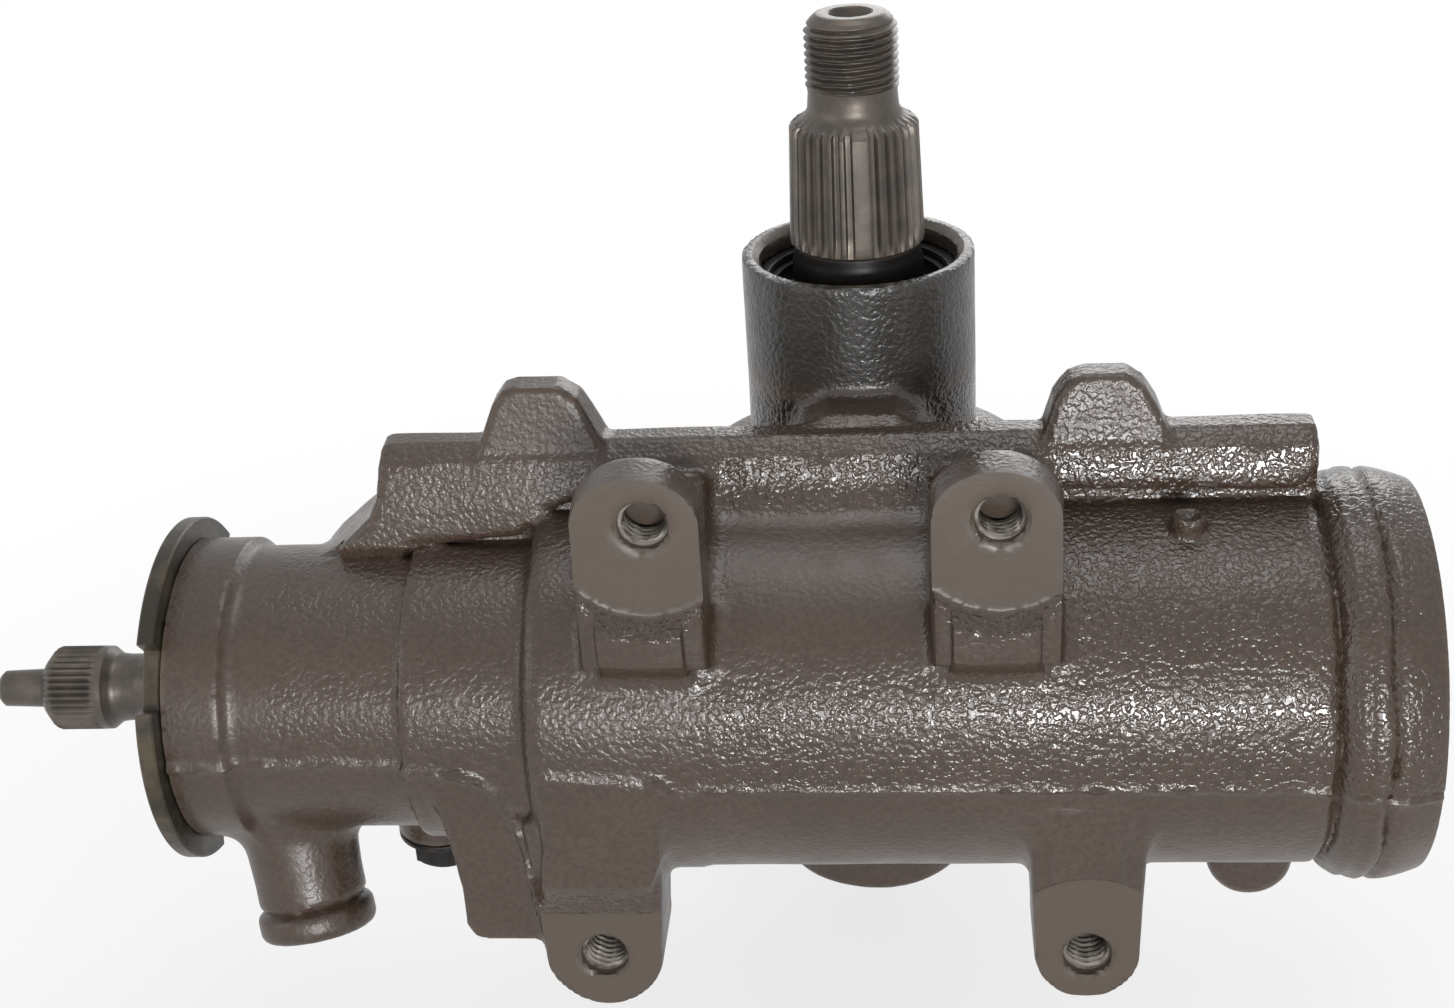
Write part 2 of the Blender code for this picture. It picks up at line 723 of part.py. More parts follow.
def bore_cutters(assembly):
    """Valve bore, cylinder bore and the gear cavity with its bearing and seal bores."""
    adjuster_r = ADJUSTER_R + SEAT_GAP
    valve = [
        (VALVE_END_X - CUT_PAST, adjuster_r),
        (VALVE_LEFT_X - 3.0, adjuster_r),
        (VALVE_LEFT_X - 1.5, VALVE_BORE_R),
        (PARTITION_X, VALVE_BORE_R),
        (PARTITION_X, PARTITION_BORE_R),
        (PARTITION_X + PARTITION_THICK + 0.5, PARTITION_BORE_R),
    ]
    cylinder_start = PARTITION_X + PARTITION_THICK
    groove_start = END_RING_X - SEAT_GAP
    groove_end = END_RING_X + END_RING_THICK + SEAT_GAP
    groove_r = PLUG_BORE_R + END_RING_BITE
    cylinder = [
        (cylinder_start, CYLINDER_BORE_R - 6.0),
        (cylinder_start + 3.0, CYLINDER_BORE_R),
        (CYLINDER_END_X, CYLINDER_BORE_R),
        (CYLINDER_END_X, PLUG_BORE_R),
        (groove_start, PLUG_BORE_R),
        (groove_start, groove_r),
        (groove_end, groove_r),
        (groove_end, PLUG_BORE_R),
        (FLANGE_END_X - 1.0, PLUG_BORE_R),
        (FLANGE_END_X + CUT_PAST, PLUG_BORE_R + CUT_PAST),
    ]
    ring_bottom = pitman_ring_z() - SEAT_GAP
    ring_top = ring_bottom + PITMAN_RING_THICK + 2 * SEAT_GAP
    gears = [
        (GASKET_Z - CUT_PAST, GEAR_CAVITY_R),
        (GEAR_CAVITY_TOP_Z - 2.0, GEAR_CAVITY_R),
        (GEAR_CAVITY_TOP_Z, GEAR_CAVITY_R - 2.0),
        (GEAR_CAVITY_TOP_Z, BEARING_BORE_R),
        (SEAL_BORE_Z, BEARING_BORE_R),
        (SEAL_BORE_Z, SEAL_BORE_R),
        (ring_bottom, SEAL_BORE_R),
        (ring_bottom, SEAL_BORE_R + PITMAN_RING_BITE),
        (ring_top, SEAL_BORE_R + PITMAN_RING_BITE),
        (ring_top, SEAL_BORE_R),
        (BOSS_TOP_Z - 0.7, SEAL_BORE_R),
        (BOSS_TOP_Z + 2.0, SEAL_BORE_R + 2.7),
    ]
    return [
        assembly.guide("cut_valve", turned("cut_valve", valve)),
        assembly.guide("cut_cylinder", turned("cut_cylinder", cylinder)),
        assembly.guide("cut_gears", turned("cut_gears", gears, "Z", MEDIUM_SIDES), (0, PITMAN_Y, 0)),
    ]


def mount_cutters(assembly):
    """Tapped holes of the pads and ears, each with the round spot face that is milled about it."""
    cuts = []
    places = [(x, UPPER_HOLE_Z) for x in UPPER_HOLES_X] + [(x, LOWER_HOLE_Z) for x in LOWER_HOLES_X]
    floor = PAD_FACE_Y + MOUNT_HOLE_DEPTH
    hole = [
        (PAD_FACE_Y - CUT_PAST, MOUNT_HOLE_R + MOUNT_CHAMFER + CUT_PAST),
        (PAD_FACE_Y + MOUNT_CHAMFER, MOUNT_HOLE_R),
        (floor, MOUNT_HOLE_R),
        (floor + DRILL_POINT, 0.0),
    ]
    face = [
        (PAD_FACE_Y - 12.0, SPOT_FACE_R + 6.5),
        (PAD_FACE_Y - 5.0, SPOT_FACE_R + 3.0),
        (PAD_FACE_Y, SPOT_FACE_R),
    ]
    for k, (x, z) in enumerate(places):
        at = (x, 0, z)
        cuts.append(assembly.guide(f"cut_mount_hole_{k}", turned("cut_hole", hole, "Y", TINY_SIDES), at))
        straight_ledge = k == len(UPPER_HOLES_X)
        if not straight_ledge:
            cuts.append(assembly.guide(f"cut_spot_face_{k}", turned("cut_face", face, "Y"), at))
    return cuts


def housing_cuts(assembly):
    """Everything that is machined out of the casting."""
    cuts = bore_cutters(assembly) + mount_cutters(assembly)
    for k, place in enumerate(cover_corner_places()):
        hole = rod("cut_bolt", GASKET_Z - CUT_PAST, GASKET_Z + COVER_BOLT_GRIP, COVER_BOLT_R + SEAT_GAP,
                   "Z", TINY_SIDES)
        cuts.append(assembly.guide(f"cut_cover_bolt_{k}", hole, place))
    floor = PORT_END - PORT_DEPTH
    port = [
        (floor - 26.0, PORT_PASSAGE_R),
        (floor, PORT_PASSAGE_R),
        (floor, PORT_HOLE_R),
        (PORT_END - 0.8, PORT_HOLE_R),
        (PORT_END + 2.0, PORT_HOLE_R + 2.8),
    ]
    port_mesh = on_port_axis(turned("cut_port", port, "X", SMALL_SIDES))
    cuts.append(assembly.guide("cut_port", port_mesh, PORT_START))
    plug_floor = PLUG_PORT_FACE_Z + PLUG_PORT_DEPTH
    plug = [
        (PLUG_PORT_FACE_Z - CUT_PAST, PLUG_PORT_HOLE_R),
        (plug_floor, PLUG_PORT_HOLE_R),
        (plug_floor, PLUG_PORT_PASSAGE_R),
        (plug_floor + 14.0, PLUG_PORT_PASSAGE_R),
    ]
    plug_mesh = turned("cut_plug_port", plug, "Z", SMALL_SIDES)
    cuts.append(assembly.guide("cut_plug_port", plug_mesh, (PLUG_PORT_X, PLUG_PORT_Y, 0)))
    return cuts


def make_housing(assembly):
    body = assembly.add("housing", turned("housing", housing_profile()), cast_paint())
    boolean(body, 'UNION', housing_forms(assembly))
    boolean(body, 'DIFFERENCE', housing_cuts(assembly))


def adjuster_face():
    """Outer face of the adjuster plug, along X."""
    return VALVE_END_X - LOCK_RING_THICK - ADJUSTER_PROUD


def stub_seal_floor():
    """Where the adjuster plug's seal pocket ends: its face plus the pieces stacked in it."""
    stack = STUB_RING_DEPTH + STUB_RING_THICK + DUST_SEAL_THICK + STUB_SEAL_THICK
    return adjuster_face() + stack + 3 * SEAT_GAP


def make_adjuster(assembly):
    """Adjuster plug with its rubber ring, and the notched lock ring around it."""
    face = adjuster_face()
    inner_end = VALVE_LEFT_X - UPPER_THRUST_THICK - 2 * SEAT_GAP
    groove = VALVE_END_X + ADJUSTER_THREAD
    groove_end = groove + O_RING_GROOVE_WIDTH
    seal_floor = stub_seal_floor()
    shelf = seal_floor + SHELF_THICK
    lip_r = STUB_R + RUNNING_GAP + 1.2
    plug = [
        (face, SEAL_POCKET_R),
        (face, ADJUSTER_R - 1.2),
        (face + 1.2, ADJUSTER_R),
        (groove, ADJUSTER_R),
        (groove, ADJUSTER_R - O_RING_GROOVE_DEPTH),
        (groove_end, ADJUSTER_R - O_RING_GROOVE_DEPTH),
        (groove_end, ADJUSTER_R - 0.6),
        (inner_end, ADJUSTER_R - 0.6),
        (inner_end, NEEDLE_POCKET_R),
        (shelf, NEEDLE_POCKET_R),
        (shelf, lip_r),
        (seal_floor, lip_r),
        (seal_floor, SEAL_POCKET_R),
    ]
    plug_mesh = turned("adjuster_plug", plug, closed=True)
    assembly.add("adjuster_plug", plug_mesh, painted_steel())
    o_ring = rubber_ring("adjuster_o_ring", groove, ADJUSTER_R)
    assembly.add("adjuster_o_ring", o_ring, seal_rubber())

    ring_left = VALVE_END_X - LOCK_RING_THICK - SEAT_GAP
    ring_right = ring_left + LOCK_RING_THICK
    ring_mesh = tube("adjuster_lock_ring", ring_left, ring_right, ADJUSTER_R + SEAT_GAP, LOCK_RING_R,
                     "X", LOCK_RING_SIDES)
    ring = assembly.add("adjuster_lock_ring", ring_mesh, painted_steel())
    half = LOCK_RING_NOTCH / 2
    floor = LOCK_RING_R - LOCK_RING_NOTCH_DEPTH
    past = LOCK_RING_R + CUT_PAST
    outline = [(floor, -half), (past, -half), (past, half), (floor, half)]
    notches = []
    for k, angle in enumerate(LOCK_RING_NOTCHES):
        slot = prism("notch", outline, ring_left - CUT_PAST, ring_right + CUT_PAST, "YZ")
        slot.transform(Matrix.Rotation(math.radians(angle), 4, 'X'))
        notches.append(assembly.guide(f"cut_notch_{k}", slot))
    boolean(ring, 'DIFFERENCE', notches)


def make_stub_seals(assembly):
    """Retaining ring, dust seal, seal and needle bearing on the input stub, and the thrust bearing."""
    bore = STUB_R + RUNNING_GAP
    outer = SEAL_POCKET_R - SEAT_GAP
    start = adjuster_face() + STUB_RING_DEPTH
    stack = (
        ("stub_seal_retaining_ring", STUB_RING_THICK, STUB_RING_BORE_R, dark_hardware()),
        ("stub_dust_seal", DUST_SEAL_THICK, bore, seal_rubber()),
        ("stub_seal", STUB_SEAL_THICK, bore, seal_rubber()),
    )
    for name, thick, inner, finish in stack:
        assembly.add(name, tube(name, start, start + thick, inner, outer, "X", LARGE_SIDES), finish)
        start += thick + SEAT_GAP
    needle_left = stub_seal_floor() + SHELF_THICK + SEAT_GAP
    needle_right = VALVE_LEFT_X - UPPER_THRUST_THICK - 3 * SEAT_GAP
    needle = tube("stub_needle_bearing", needle_left, needle_right, bore, NEEDLE_POCKET_R - SEAT_GAP,
                  "X", LARGE_SIDES)
    assembly.add("stub_needle_bearing", needle, bearing_steel())
    thrust_right = VALVE_LEFT_X - SEAT_GAP
    thrust = tube("upper_thrust_bearing", thrust_right - UPPER_THRUST_THICK, thrust_right,
                  UPPER_THRUST_BORE_R, UPPER_THRUST_R)
    assembly.add("upper_thrust_bearing", thrust, bearing_steel())


def serrated(name, stations, teeth, depth, tooth, filled=()):
    """A toothed length of shaft: `stations` holds (along, outer radius), `tooth` holds (share of a
    pitch, share of the depth), and a space listed in `filled` stays solid."""
    bm = bmesh.new()
    rings = []
    for s, radius in stations:
        ring = []
        for k in range(teeth):
            for share, drop in tooth:
                angle = 2 * math.pi * (k + share) / teeth
                r = radius if k in filled else radius - drop * depth
                ring.append(bm.verts.new((s, r * math.cos(angle), r * math.sin(angle))))
        rings.append(ring)
    count = len(rings[0])
    for first, second in zip(rings, rings[1:]):
        for k in range(count):
            bm.faces.new((first[k], first[(k + 1) % count], second[(k + 1) % count], second[k]))
    bm.faces.new(rings[0])
    bm.faces.new(rings[-1])
    return finish_mesh(name, bm)


def spool_span():
    """Left and right ends of the spool valve along X."""
    return VALVE_LEFT_X + SPOOL_INSET, VALVE_RIGHT_X - SPOOL_SHORT


def make_stub_shaft(assembly):
    """Input stub with its pilot, its serrated end, its neck and the bore for the torsion bar."""
    pilot_end = STUB_TIP_X + STUB_PILOT_LENGTH
    core_r = STUB_SERRATION_R - 1.2
    collar_r = STUB_SERRATION_R - 0.2
    collar_end = STUB_SERRATION_END_X + STUB_COLLAR
    stub_end = spool_span()[1] + 0.5
    bar_hole = TORSION_BAR_R + SEAT_GAP
    profile = [
        (STUB_TIP_X, STUB_PILOT_R - 1.0),
        (STUB_TIP_X + 1.2, STUB_PILOT_R - 0.2),
        (pilot_end, STUB_PILOT_R),
        (pilot_end + 0.4, STUB_PILOT_R + 1.0),
        (STUB_SERRATION_START_X + 1.0, core_r),
        (STUB_SERRATION_END_X, core_r),
        (STUB_SERRATION_END_X + 0.2, collar_r),
        (collar_end, collar_r),
        (collar_end + 1.6, STUB_NECK_R + 0.6),
        (collar_end + 4.1, STUB_NECK_R),
        (STUB_NECK_END_X, STUB_NECK_R),
        (STUB_NECK_END_X + 3.0, STUB_R),
        (stub_end, STUB_R),
        (stub_end, bar_hole),
        (TORSION_BAR_LEFT_X - SEAT_GAP, bar_hole),
        (TORSION_BAR_LEFT_X - SEAT_GAP, 0.0),
    ]
    stub = assembly.add("stub_shaft", turned("stub_shaft", profile, "X", MEDIUM_SIDES), shaft_steel())
    stations = [
        (STUB_SERRATION_START_X - 2.6, STUB_PILOT_R + 2.2),
        (STUB_SERRATION_START_X, STUB_SERRATION_R),
        (STUB_SERRATION_END_X, STUB_SERRATION_R),
    ]
    serration = serrated("serration", stations, STUB_SERRATIONS, SERRATION_DEPTH, SHARP_TOOTH)
    boolean(stub, 'UNION', [assembly.guide("form_serration", serration)])


def make_spool(assembly):
    """Spool valve on the stub, and the torsion bar that ties the stub to the worm."""
    left, right = spool_span()
    bore = STUB_R + SEAT_GAP
    pitch = (right - left) / VALVE_LANDS
    floor = SPOOL_R - SPOOL_GROOVE
    spool = [(left, bore)]
    for k in range(VALVE_LANDS):
        s = left + k * pitch
        spool += [(s, SPOOL_R), (s + pitch * 0.62, SPOOL_R), (s + pitch * 0.66, floor),
                  (s + pitch * 0.96, floor)]
    spool += [(right, SPOOL_R), (right, bore)]
    spool_mesh = turned("spool_valve", spool, "X", MEDIUM_SIDES, closed=True)
    assembly.add("spool_valve", spool_mesh, bearing_steel())

    bar_left = TORSION_BAR_LEFT_X
    bar_right = VALVE_RIGHT_X + BAR_SEAT
    waist = TORSION_BAR_R - TORSION_BAR_WAIST
    bar = [
        (bar_left, TORSION_BAR_R),
        (bar_left + TORSION_BAR_GRIP, TORSION_BAR_R),
        (bar_left + TORSION_BAR_GRIP + 3.0, waist),
        (bar_right - TORSION_BAR_GRIP - 3.0, waist),
        (bar_right - TORSION_BAR_GRIP, TORSION_BAR_R),
        (bar_right, TORSION_BAR_R),
    ]
    assembly.add("torsion_bar", turned("torsion_bar", bar, "X", TINY_SIDES), bearing_steel())


def helical_solid(name, start, turns, land_r, groove_sign):
    """A bar with a ball groove wound round it: sign -1 sinks the groove, +1 raises it as a cutter does.

    In the axial section the groove is a circle of radius GROOVE_R about the ball centres,
    r(u) = BALL_TRACK_R + sign * sqrt(GROOVE_R^2 - u^2). The section is wound as one ribbon, so
    its last point in one column is its first point one turn on.
    """
    reach = math.sqrt(GROOVE_R ** 2 - (land_r - BALL_TRACK_R) ** 2)
    limit = math.asin(reach / GROOVE_R)
    middle = LEAD / 2
    steps = 4
    section = [(0.0, land_r), (middle - reach, land_r)]
    for k in range(1, steps):
        angle = -limit + 2 * limit * k / steps
        radius = BALL_TRACK_R + groove_sign * GROOVE_R * math.cos(angle)
        section.append((middle + GROOVE_R * math.sin(angle), radius))
    section.append((middle + reach, land_r))
    count = len(section)
    last = turns * SCREW_SIDES
    bm = bmesh.new()
    grid = {}

    def vertex(k, c):
        if k == count:
            k, c = 0, c + SCREW_SIDES
        if (k, c) not in grid:
            u, r = section[k]
            angle = 2 * math.pi * c / SCREW_SIDES + math.pi
            x = start - middle + u + LEAD * c / SCREW_SIDES
            grid[k, c] = bm.verts.new((x, r * math.cos(angle), r * math.sin(angle)))
        return grid[k, c]

    for c in range(last):
        for k in range(count):
            bm.faces.new((vertex(k, c), vertex(k, c + 1), vertex(k + 1, c + 1), vertex(k + 1, c)))
    first_rim = [vertex(0, c) for c in range(SCREW_SIDES + 1)]
    first_rim += [vertex(k, 0) for k in range(count - 1, 0, -1)]
    last_rim = [vertex(k, last) for k in range(count)]
    last_rim += [vertex(0, c) for c in range(last + SCREW_SIDES, last, -1)]
    ends = ((first_rim, start - middle - 1.0), (last_rim, start + middle + 1.0 + LEAD * turns))
    for rim, x in ends:
        hub = bm.verts.new((x, 0, 0))
        for k in range(len(rim)):
            bm.faces.new((rim[k], rim[(k + 1) % len(rim)], hub))
    return finish_mesh(name, bm)


def make_worm(assembly):
    """Valve body, and the worm with its thrust head and wound ball groove."""
    bore = SPOOL_R + RUNNING_GAP
    floor = VALVE_BODY_R - VALVE_GROOVE
    pitch = (VALVE_RIGHT_X - VALVE_LEFT_X) / VALVE_LANDS
    body = [(VALVE_LEFT_X, bore)]
    for k in range(VALVE_LANDS):
        s = VALVE_LEFT_X + k * pitch
        body += [(s, VALVE_BODY_R), (s + pitch * 0.5, VALVE_BODY_R), (s + pitch * 0.5, floor),
                 (s + pitch * 0.86, floor), (s + pitch * 0.86, VALVE_BODY_R)]
    body += [(VALVE_RIGHT_X, VALVE_BODY_R), (VALVE_RIGHT_X, bore)]
    body_mesh = turned("valve_body", body, "X", MEDIUM_SIDES, closed=True)
    assembly.add("valve_body", body_mesh, bearing_steel())

    shoulder_r = WORM_R + 0.5
    screw_start = CIRCUIT_X - LEAD * WORM_TURNS_BEFORE
    shaft_end = screw_start + LEAD * 0.9
    head_left = VALVE_RIGHT_X + SEAT_GAP
    head_right = PARTITION_X - HEAD_END_GAP
    thrust_face = head_right + 0.8
    journal_end = PARTITION_X + PARTITION_THICK - 1.0
    bar_hole = TORSION_BAR_R + SEAT_GAP
    bar_floor = VALVE_RIGHT_X + BAR_SEAT + SEAT_GAP
    boss_left = VALVE_RIGHT_X - HEAD_BOSS_LENGTH
    profile = [
        (boss_left, bar_hole),
        (boss_left, HEAD_BOSS_R),
        (head_left, HEAD_BOSS_R),
        (head_left, HEAD_R),
        (head_right, HEAD_R),
        (thrust_face, HEAD_R - 1.0),
        (thrust_face, JOURNAL_R),
        (journal_end, JOURNAL_R),
        (journal_end + 1.5, shoulder_r),
        (shaft_end, shoulder_r),
        (shaft_end, 0.0),
        (bar_floor, 0.0),
        (bar_floor, bar_hole),
    ]
    worm_mesh = turned("worm_shaft", profile, closed=True)
    worm = assembly.add("worm_shaft", worm_mesh, shaft_steel())
    screw = assembly.guide("form_screw", helical_solid("screw", screw_start, WORM_TURNS, WORM_R, -1))
    boolean(worm, 'UNION', [screw])
    tail = rod("cut_worm_end", WORM_END_X, WORM_END_X + LEAD, WORM_R + CUT_PAST)
    boolean(worm, 'DIFFERENCE', [assembly.guide("cut_worm_end", tail)])
    lower = tube("lower_thrust_bearing", thrust_face + SEAT_GAP, PARTITION_X - SEAT_GAP,
                 JOURNAL_R + RUNNING_GAP, LOWER_THRUST_R)
    assembly.add("lower_thrust_bearing", lower, bearing_steel())


def rack_outline():
    """Spaces between the rack teeth, as the outline of the tool that cuts them, in the XY plane."""
    pitch_y = PITMAN_Y - SECTOR_PITCH_R
    tip_y = pitch_y + RACK_ADDENDUM
    root_y = pitch_y - SECTOR_ADDENDUM - ROOT_CLEARANCE
    past_y = CYLINDER_BORE_R + CUT_PAST
    slope = math.tan(PRESSURE_ANGLE)
    half = CIRCULAR_PITCH / 4 + FLANK_GAP / 4
    wide = half + RACK_ADDENDUM * slope
    narrow = half - (pitch_y - root_y) * slope
    points = [(-RACK_FLAT_HALF - 7.0, past_y), (-RACK_FLAT_HALF, tip_y)]
    for k in range(SECTOR_TEETH):
        x = (k - (SECTOR_TEETH - 1) / 2) * CIRCULAR_PITCH
        points += [(x - wide, tip_y), (x - narrow, root_y), (x + narrow, root_y), (x + wide, tip_y)]
    points += [(RACK_FLAT_HALF, tip_y), (RACK_FLAT_HALF + 7.0, past_y)]
    return points


def involute(angle):
    return math.tan(angle) - angle


def sector_outline():
    """Root circle with SECTOR_TEETH involute teeth pointing at the rack (towards -Y).

    At radius r a tooth's half angle is h + inv(PRESSURE_ANGLE) - inv(acos(base_r / r)), where h is
    its half angle on the pitch circle and inv(a) = tan(a) - a.
    """
    base_r = SECTOR_PITCH_R * math.cos(PRESSURE_ANGLE)
    root_r = SECTOR_PITCH_R - RACK_ADDENDUM - ROOT_CLEARANCE
    tip_r = SECTOR_PITCH_R + SECTOR_ADDENDUM
    half_at_pitch = (CIRCULAR_PITCH / 4 - FLANK_GAP / 4) / SECTOR_PITCH_R
    flank_steps = 5
    flank = []
    for k in range(flank_steps + 1):
        r = base_r + (tip_r - base_r) * k / flank_steps
        pressure = math.acos(min(1.0, base_r / r))
        flank.append((r, half_at_pitch + involute(PRESSURE_ANGLE) - involute(pressure)))
    flank.insert(0, (root_r, flank[0][1] + 0.02))
    pitch_angle = CIRCULAR_PITCH / SECTOR_PITCH_R
    outer_tooth = (SECTOR_TEETH - 1) / 2 * pitch_angle
    points = []
    for k in range(SECTOR_TEETH):
        centre = -math.pi / 2 - outer_tooth + k * pitch_angle
        for r, half in flank:
            points.append((r * math.cos(centre - half), r * math.sin(centre - half)))
        for r, half in reversed(flank):
            points.append((r * math.cos(centre + half), r * math.sin(centre + half)))
    from_angle = math.degrees(-math.pi / 2 + outer_tooth + flank[0][1])
    to_angle = math.degrees(3 * math.pi / 2 - outer_tooth - flank[0][1])
    return points + arc(0, 0, root_r, from_angle, to_angle, 10)[1:-1]


def circuit_ends():
    """Where the ball circuit enters and leaves the screw thread, along X."""
    return CIRCUIT_X, CIRCUIT_X + LEAD * BALL_TURNS


def clamp_screw_places():
    first, last = circuit_ends()
    return first - CLAMP_SCREW_REACH, last + CLAMP_SCREW_REACH


def return_cutters(assembly):
    """Pocket for the return guide, its two legs and the clamp's tapped holes."""
    first, last = circuit_ends()
    left, right = first - GUIDE_POCKET_END, last + GUIDE_POCKET_END
    half = GUIDE_POCKET_HALF
    outline = [(left, -half), (right, -half), (right, half), (left, half)]
    pocket = prism("cut_guide_pocket", outline, -CYLINDER_BORE_R - CUT_PAST, GUIDE_FLOOR_Y)
    cuts = [assembly.guide("cut_guide_pocket", pocket)]
    start = GUIDE_FLOOR_Y - CUT_PAST
    for k, x in enumerate((first, last)):
        leg = rod("cut_leg", start, -BALL_TRACK_R, GUIDE_R + RUNNING_GAP, "Y", SMALL_SIDES)
        cuts.append(assembly.guide(f"cut_leg_{k}", leg, (x, 0, 0)))
    for k, x in enumerate(clamp_screw_places()):
        tap = rod("cut_tap", start, GUIDE_FLOOR_Y + CLAMP_SCREW_LENGTH, CLAMP_SCREW_R + SEAT_GAP,
                  "Y", TINY_SIDES)
        cuts.append(assembly.guide(f"cut_clamp_tap_{k}", tap, (x, 0, 0)))
    return cuts


def make_rack_piston(assembly):
    """Piston with rack teeth and ball nut thread, its ring and its end plug."""
    ring_left = PISTON_RING_X + SEAT_GAP
    ring_end = ring_left + PISTON_RING_W + SEAT_GAP
    piston_r = CYLINDER_BORE_R - RUNNING_GAP
    ring_floor = piston_r - PISTON_RING_DEPTH
    plug_start = PISTON_RIGHT_X - PISTON_PLUG_LENGTH
    plug_bore = PISTON_PLUG_R + SEAT_GAP
    profile = [
        (PISTON_LEFT_X, NUT_BORE_R),
        (PISTON_LEFT_X, piston_r - PISTON_EDGE),
        (PISTON_LEFT_X + PISTON_EDGE, piston_r),
        (PISTON_RING_X, piston_r),
        (PISTON_RING_X, ring_floor),
        (ring_end, ring_floor),
        (ring_end, piston_r),
        (PISTON_RIGHT_X - PISTON_EDGE, piston_r),
        (PISTON_RIGHT_X, piston_r - PISTON_EDGE),
        (PISTON_RIGHT_X, plug_bore),
        (plug_start - SEAT_GAP, plug_bore),
        (plug_start - SEAT_GAP, NUT_BORE_R),
    ]
    piston_mesh = turned("rack_piston", profile, closed=True)
    piston = assembly.add("rack_piston", piston_mesh, bearing_steel())
    rack = prism("cut_rack", rack_outline(), -CYLINDER_BORE_R, CYLINDER_BORE_R, "XY")
    track = helical_solid("ball_track", CIRCUIT_X, BALL_TURNS, NUT_BORE_R - 0.7, 1)
    cuts = [assembly.guide("cut_ball_track", track), assembly.guide("cut_rack", rack)]
    boolean(piston, 'DIFFERENCE', cuts + return_cutters(assembly))

    ring = tube("piston_ring", ring_left, ring_left + PISTON_RING_W, ring_floor + SEAT_GAP,
                CYLINDER_BORE_R - RING_GAP, "X", LARGE_SIDES)
    assembly.add("piston_ring", ring, seal_rubber())
    plug_end = PISTON_RIGHT_X + 1.5
    plug_mesh = rod("piston_end_plug", plug_start, plug_end, PISTON_PLUG_R, "X", LARGE_SIDES, 0.8)
    plug = assembly.add("piston_end_plug", plug_mesh, dark_hardware())
    square = prism("square", square_outline(PLUG_SQUARE), plug_end - PLUG_SQUARE_DEPTH, plug_end + CUT_PAST,
                   "YZ")
    boolean(plug, 'DIFFERENCE', [assembly.guide("cut_piston_square", square)])


def make_return_guide(assembly):
    """The bent tube that carries the balls from one end of the circuit back to the other."""
    first, last = circuit_ends()
    bend_y = GUIDE_FLOOR_Y - SEAT_GAP - GUIDE_R + GUIDE_BEND_R
    foot_y = -BALL_TRACK_R - BALL_R - 1.6
    points = [(first, foot_y)] + arc(first + GUIDE_BEND_R, bend_y, GUIDE_BEND_R, 180, 270, 5)
    points += arc(last - GUIDE_BEND_R, bend_y, GUIDE_BEND_R, 270, 360, 5) + [(last, foot_y)]
    path = bpy.data.curves.new("ball_return_guide", 'CURVE')
    path.dimensions = '3D'
    spline = path.splines.new('POLY')
    spline.points.add(len(points) - 1)
    for target, (x, y) in zip(spline.points, points):
        target.co = (x * MM, y * MM, 0.0, 1.0)
    path.bevel_depth = GUIDE_R * MM
    path.bevel_resolution = 2
    path.use_fill_caps = True
    assembly.add("ball_return_guide", path, bearing_steel())


def make_guide_clamp(assembly):
    """The strap that follows the return guide over its bends, and its two screws."""
    first, last = circuit_ends()
    bend_y = GUIDE_FLOOR_Y - SEAT_GAP - GUIDE_R + GUIDE_BEND_R
    seat_y = GUIDE_FLOOR_Y - SEAT_GAP
    flange_y = seat_y - CLAMP_THICK
    inner = GUIDE_BEND_R + GUIDE_R + SEAT_GAP
    outer = inner + CLAMP_THICK
    turn_in = math.degrees(math.asin((seat_y - bend_y) / inner))
    turn_out = math.degrees(math.asin((flange_y - bend_y) / outer))
    left, right = first + GUIDE_BEND_R, last - GUIDE_BEND_R
    strap = [(last + CLAMP_REACH, seat_y), (last + CLAMP_REACH, flange_y)]
    strap += arc(right, bend_y, outer, turn_out, -90, 3)
    strap += arc(left, bend_y, outer, -90, -180 - turn_out, 3)
    strap += [(first - CLAMP_REACH, flange_y), (first - CLAMP_REACH, seat_y)]
    strap += arc(left, bend_y, inner, -180 - turn_in, -90, 3)
    strap += arc(right, bend_y, inner, -90, turn_in, 3)
    clamp_mesh = prism("guide_clamp", strap, -CLAMP_HALF, CLAMP_HALF, "XY")
    clamp = assembly.add("guide_clamp", clamp_mesh, dark_hardware())
    head_y = flange_y - SEAT_GAP
    screw = [
        (GUIDE_FLOOR_Y + CLAMP_SCREW_LENGTH - 0.4, CLAMP_SCREW_R),
        (head_y, CLAMP_SCREW_R),
        (head_y, CLAMP_SCREW_HEAD_R),
        (head_y - 3.0, CLAMP_SCREW_HEAD_R),
    ]
    holes = []
    for k, x in enumerate(clamp_screw_places()):
        hole = rod("cut_strap", flange_y - CUT_PAST, seat_y + CUT_PAST, CLAMP_SCREW_R + SEAT_GAP,
                   "Y", TINY_SIDES)
        holes.append(assembly.guide(f"cut_strap_{k}", hole, (x, 0, 0)))
        assembly.add(f"guide_screw_{k + 1}", turned("guide_screw", screw, "Y", TINY_SIDES),
                     dark_hardware(), (x, 0, 0))
    boolean(clamp, 'DIFFERENCE', holes)


def make_balls(assembly):
    """The balls of the working circuit, evenly spread along the helix."""
    for k in range(BALL_COUNT):
        turn = BALL_TURNS * (k + 0.5) / BALL_COUNT
        angle = 2 * math.pi * turn + math.pi
        bm = bmesh.new()
        bmesh.ops.create_uvsphere(bm, u_segments=8, v_segments=4, radius=BALL_R)
        centre = (CIRCUIT_X + LEAD * turn, BALL_TRACK_R * math.cos(angle), BALL_TRACK_R * math.sin(angle))
        assembly.add(f"ball_{k + 1:02d}", finish_mesh("ball", bm), bearing_steel(), centre)


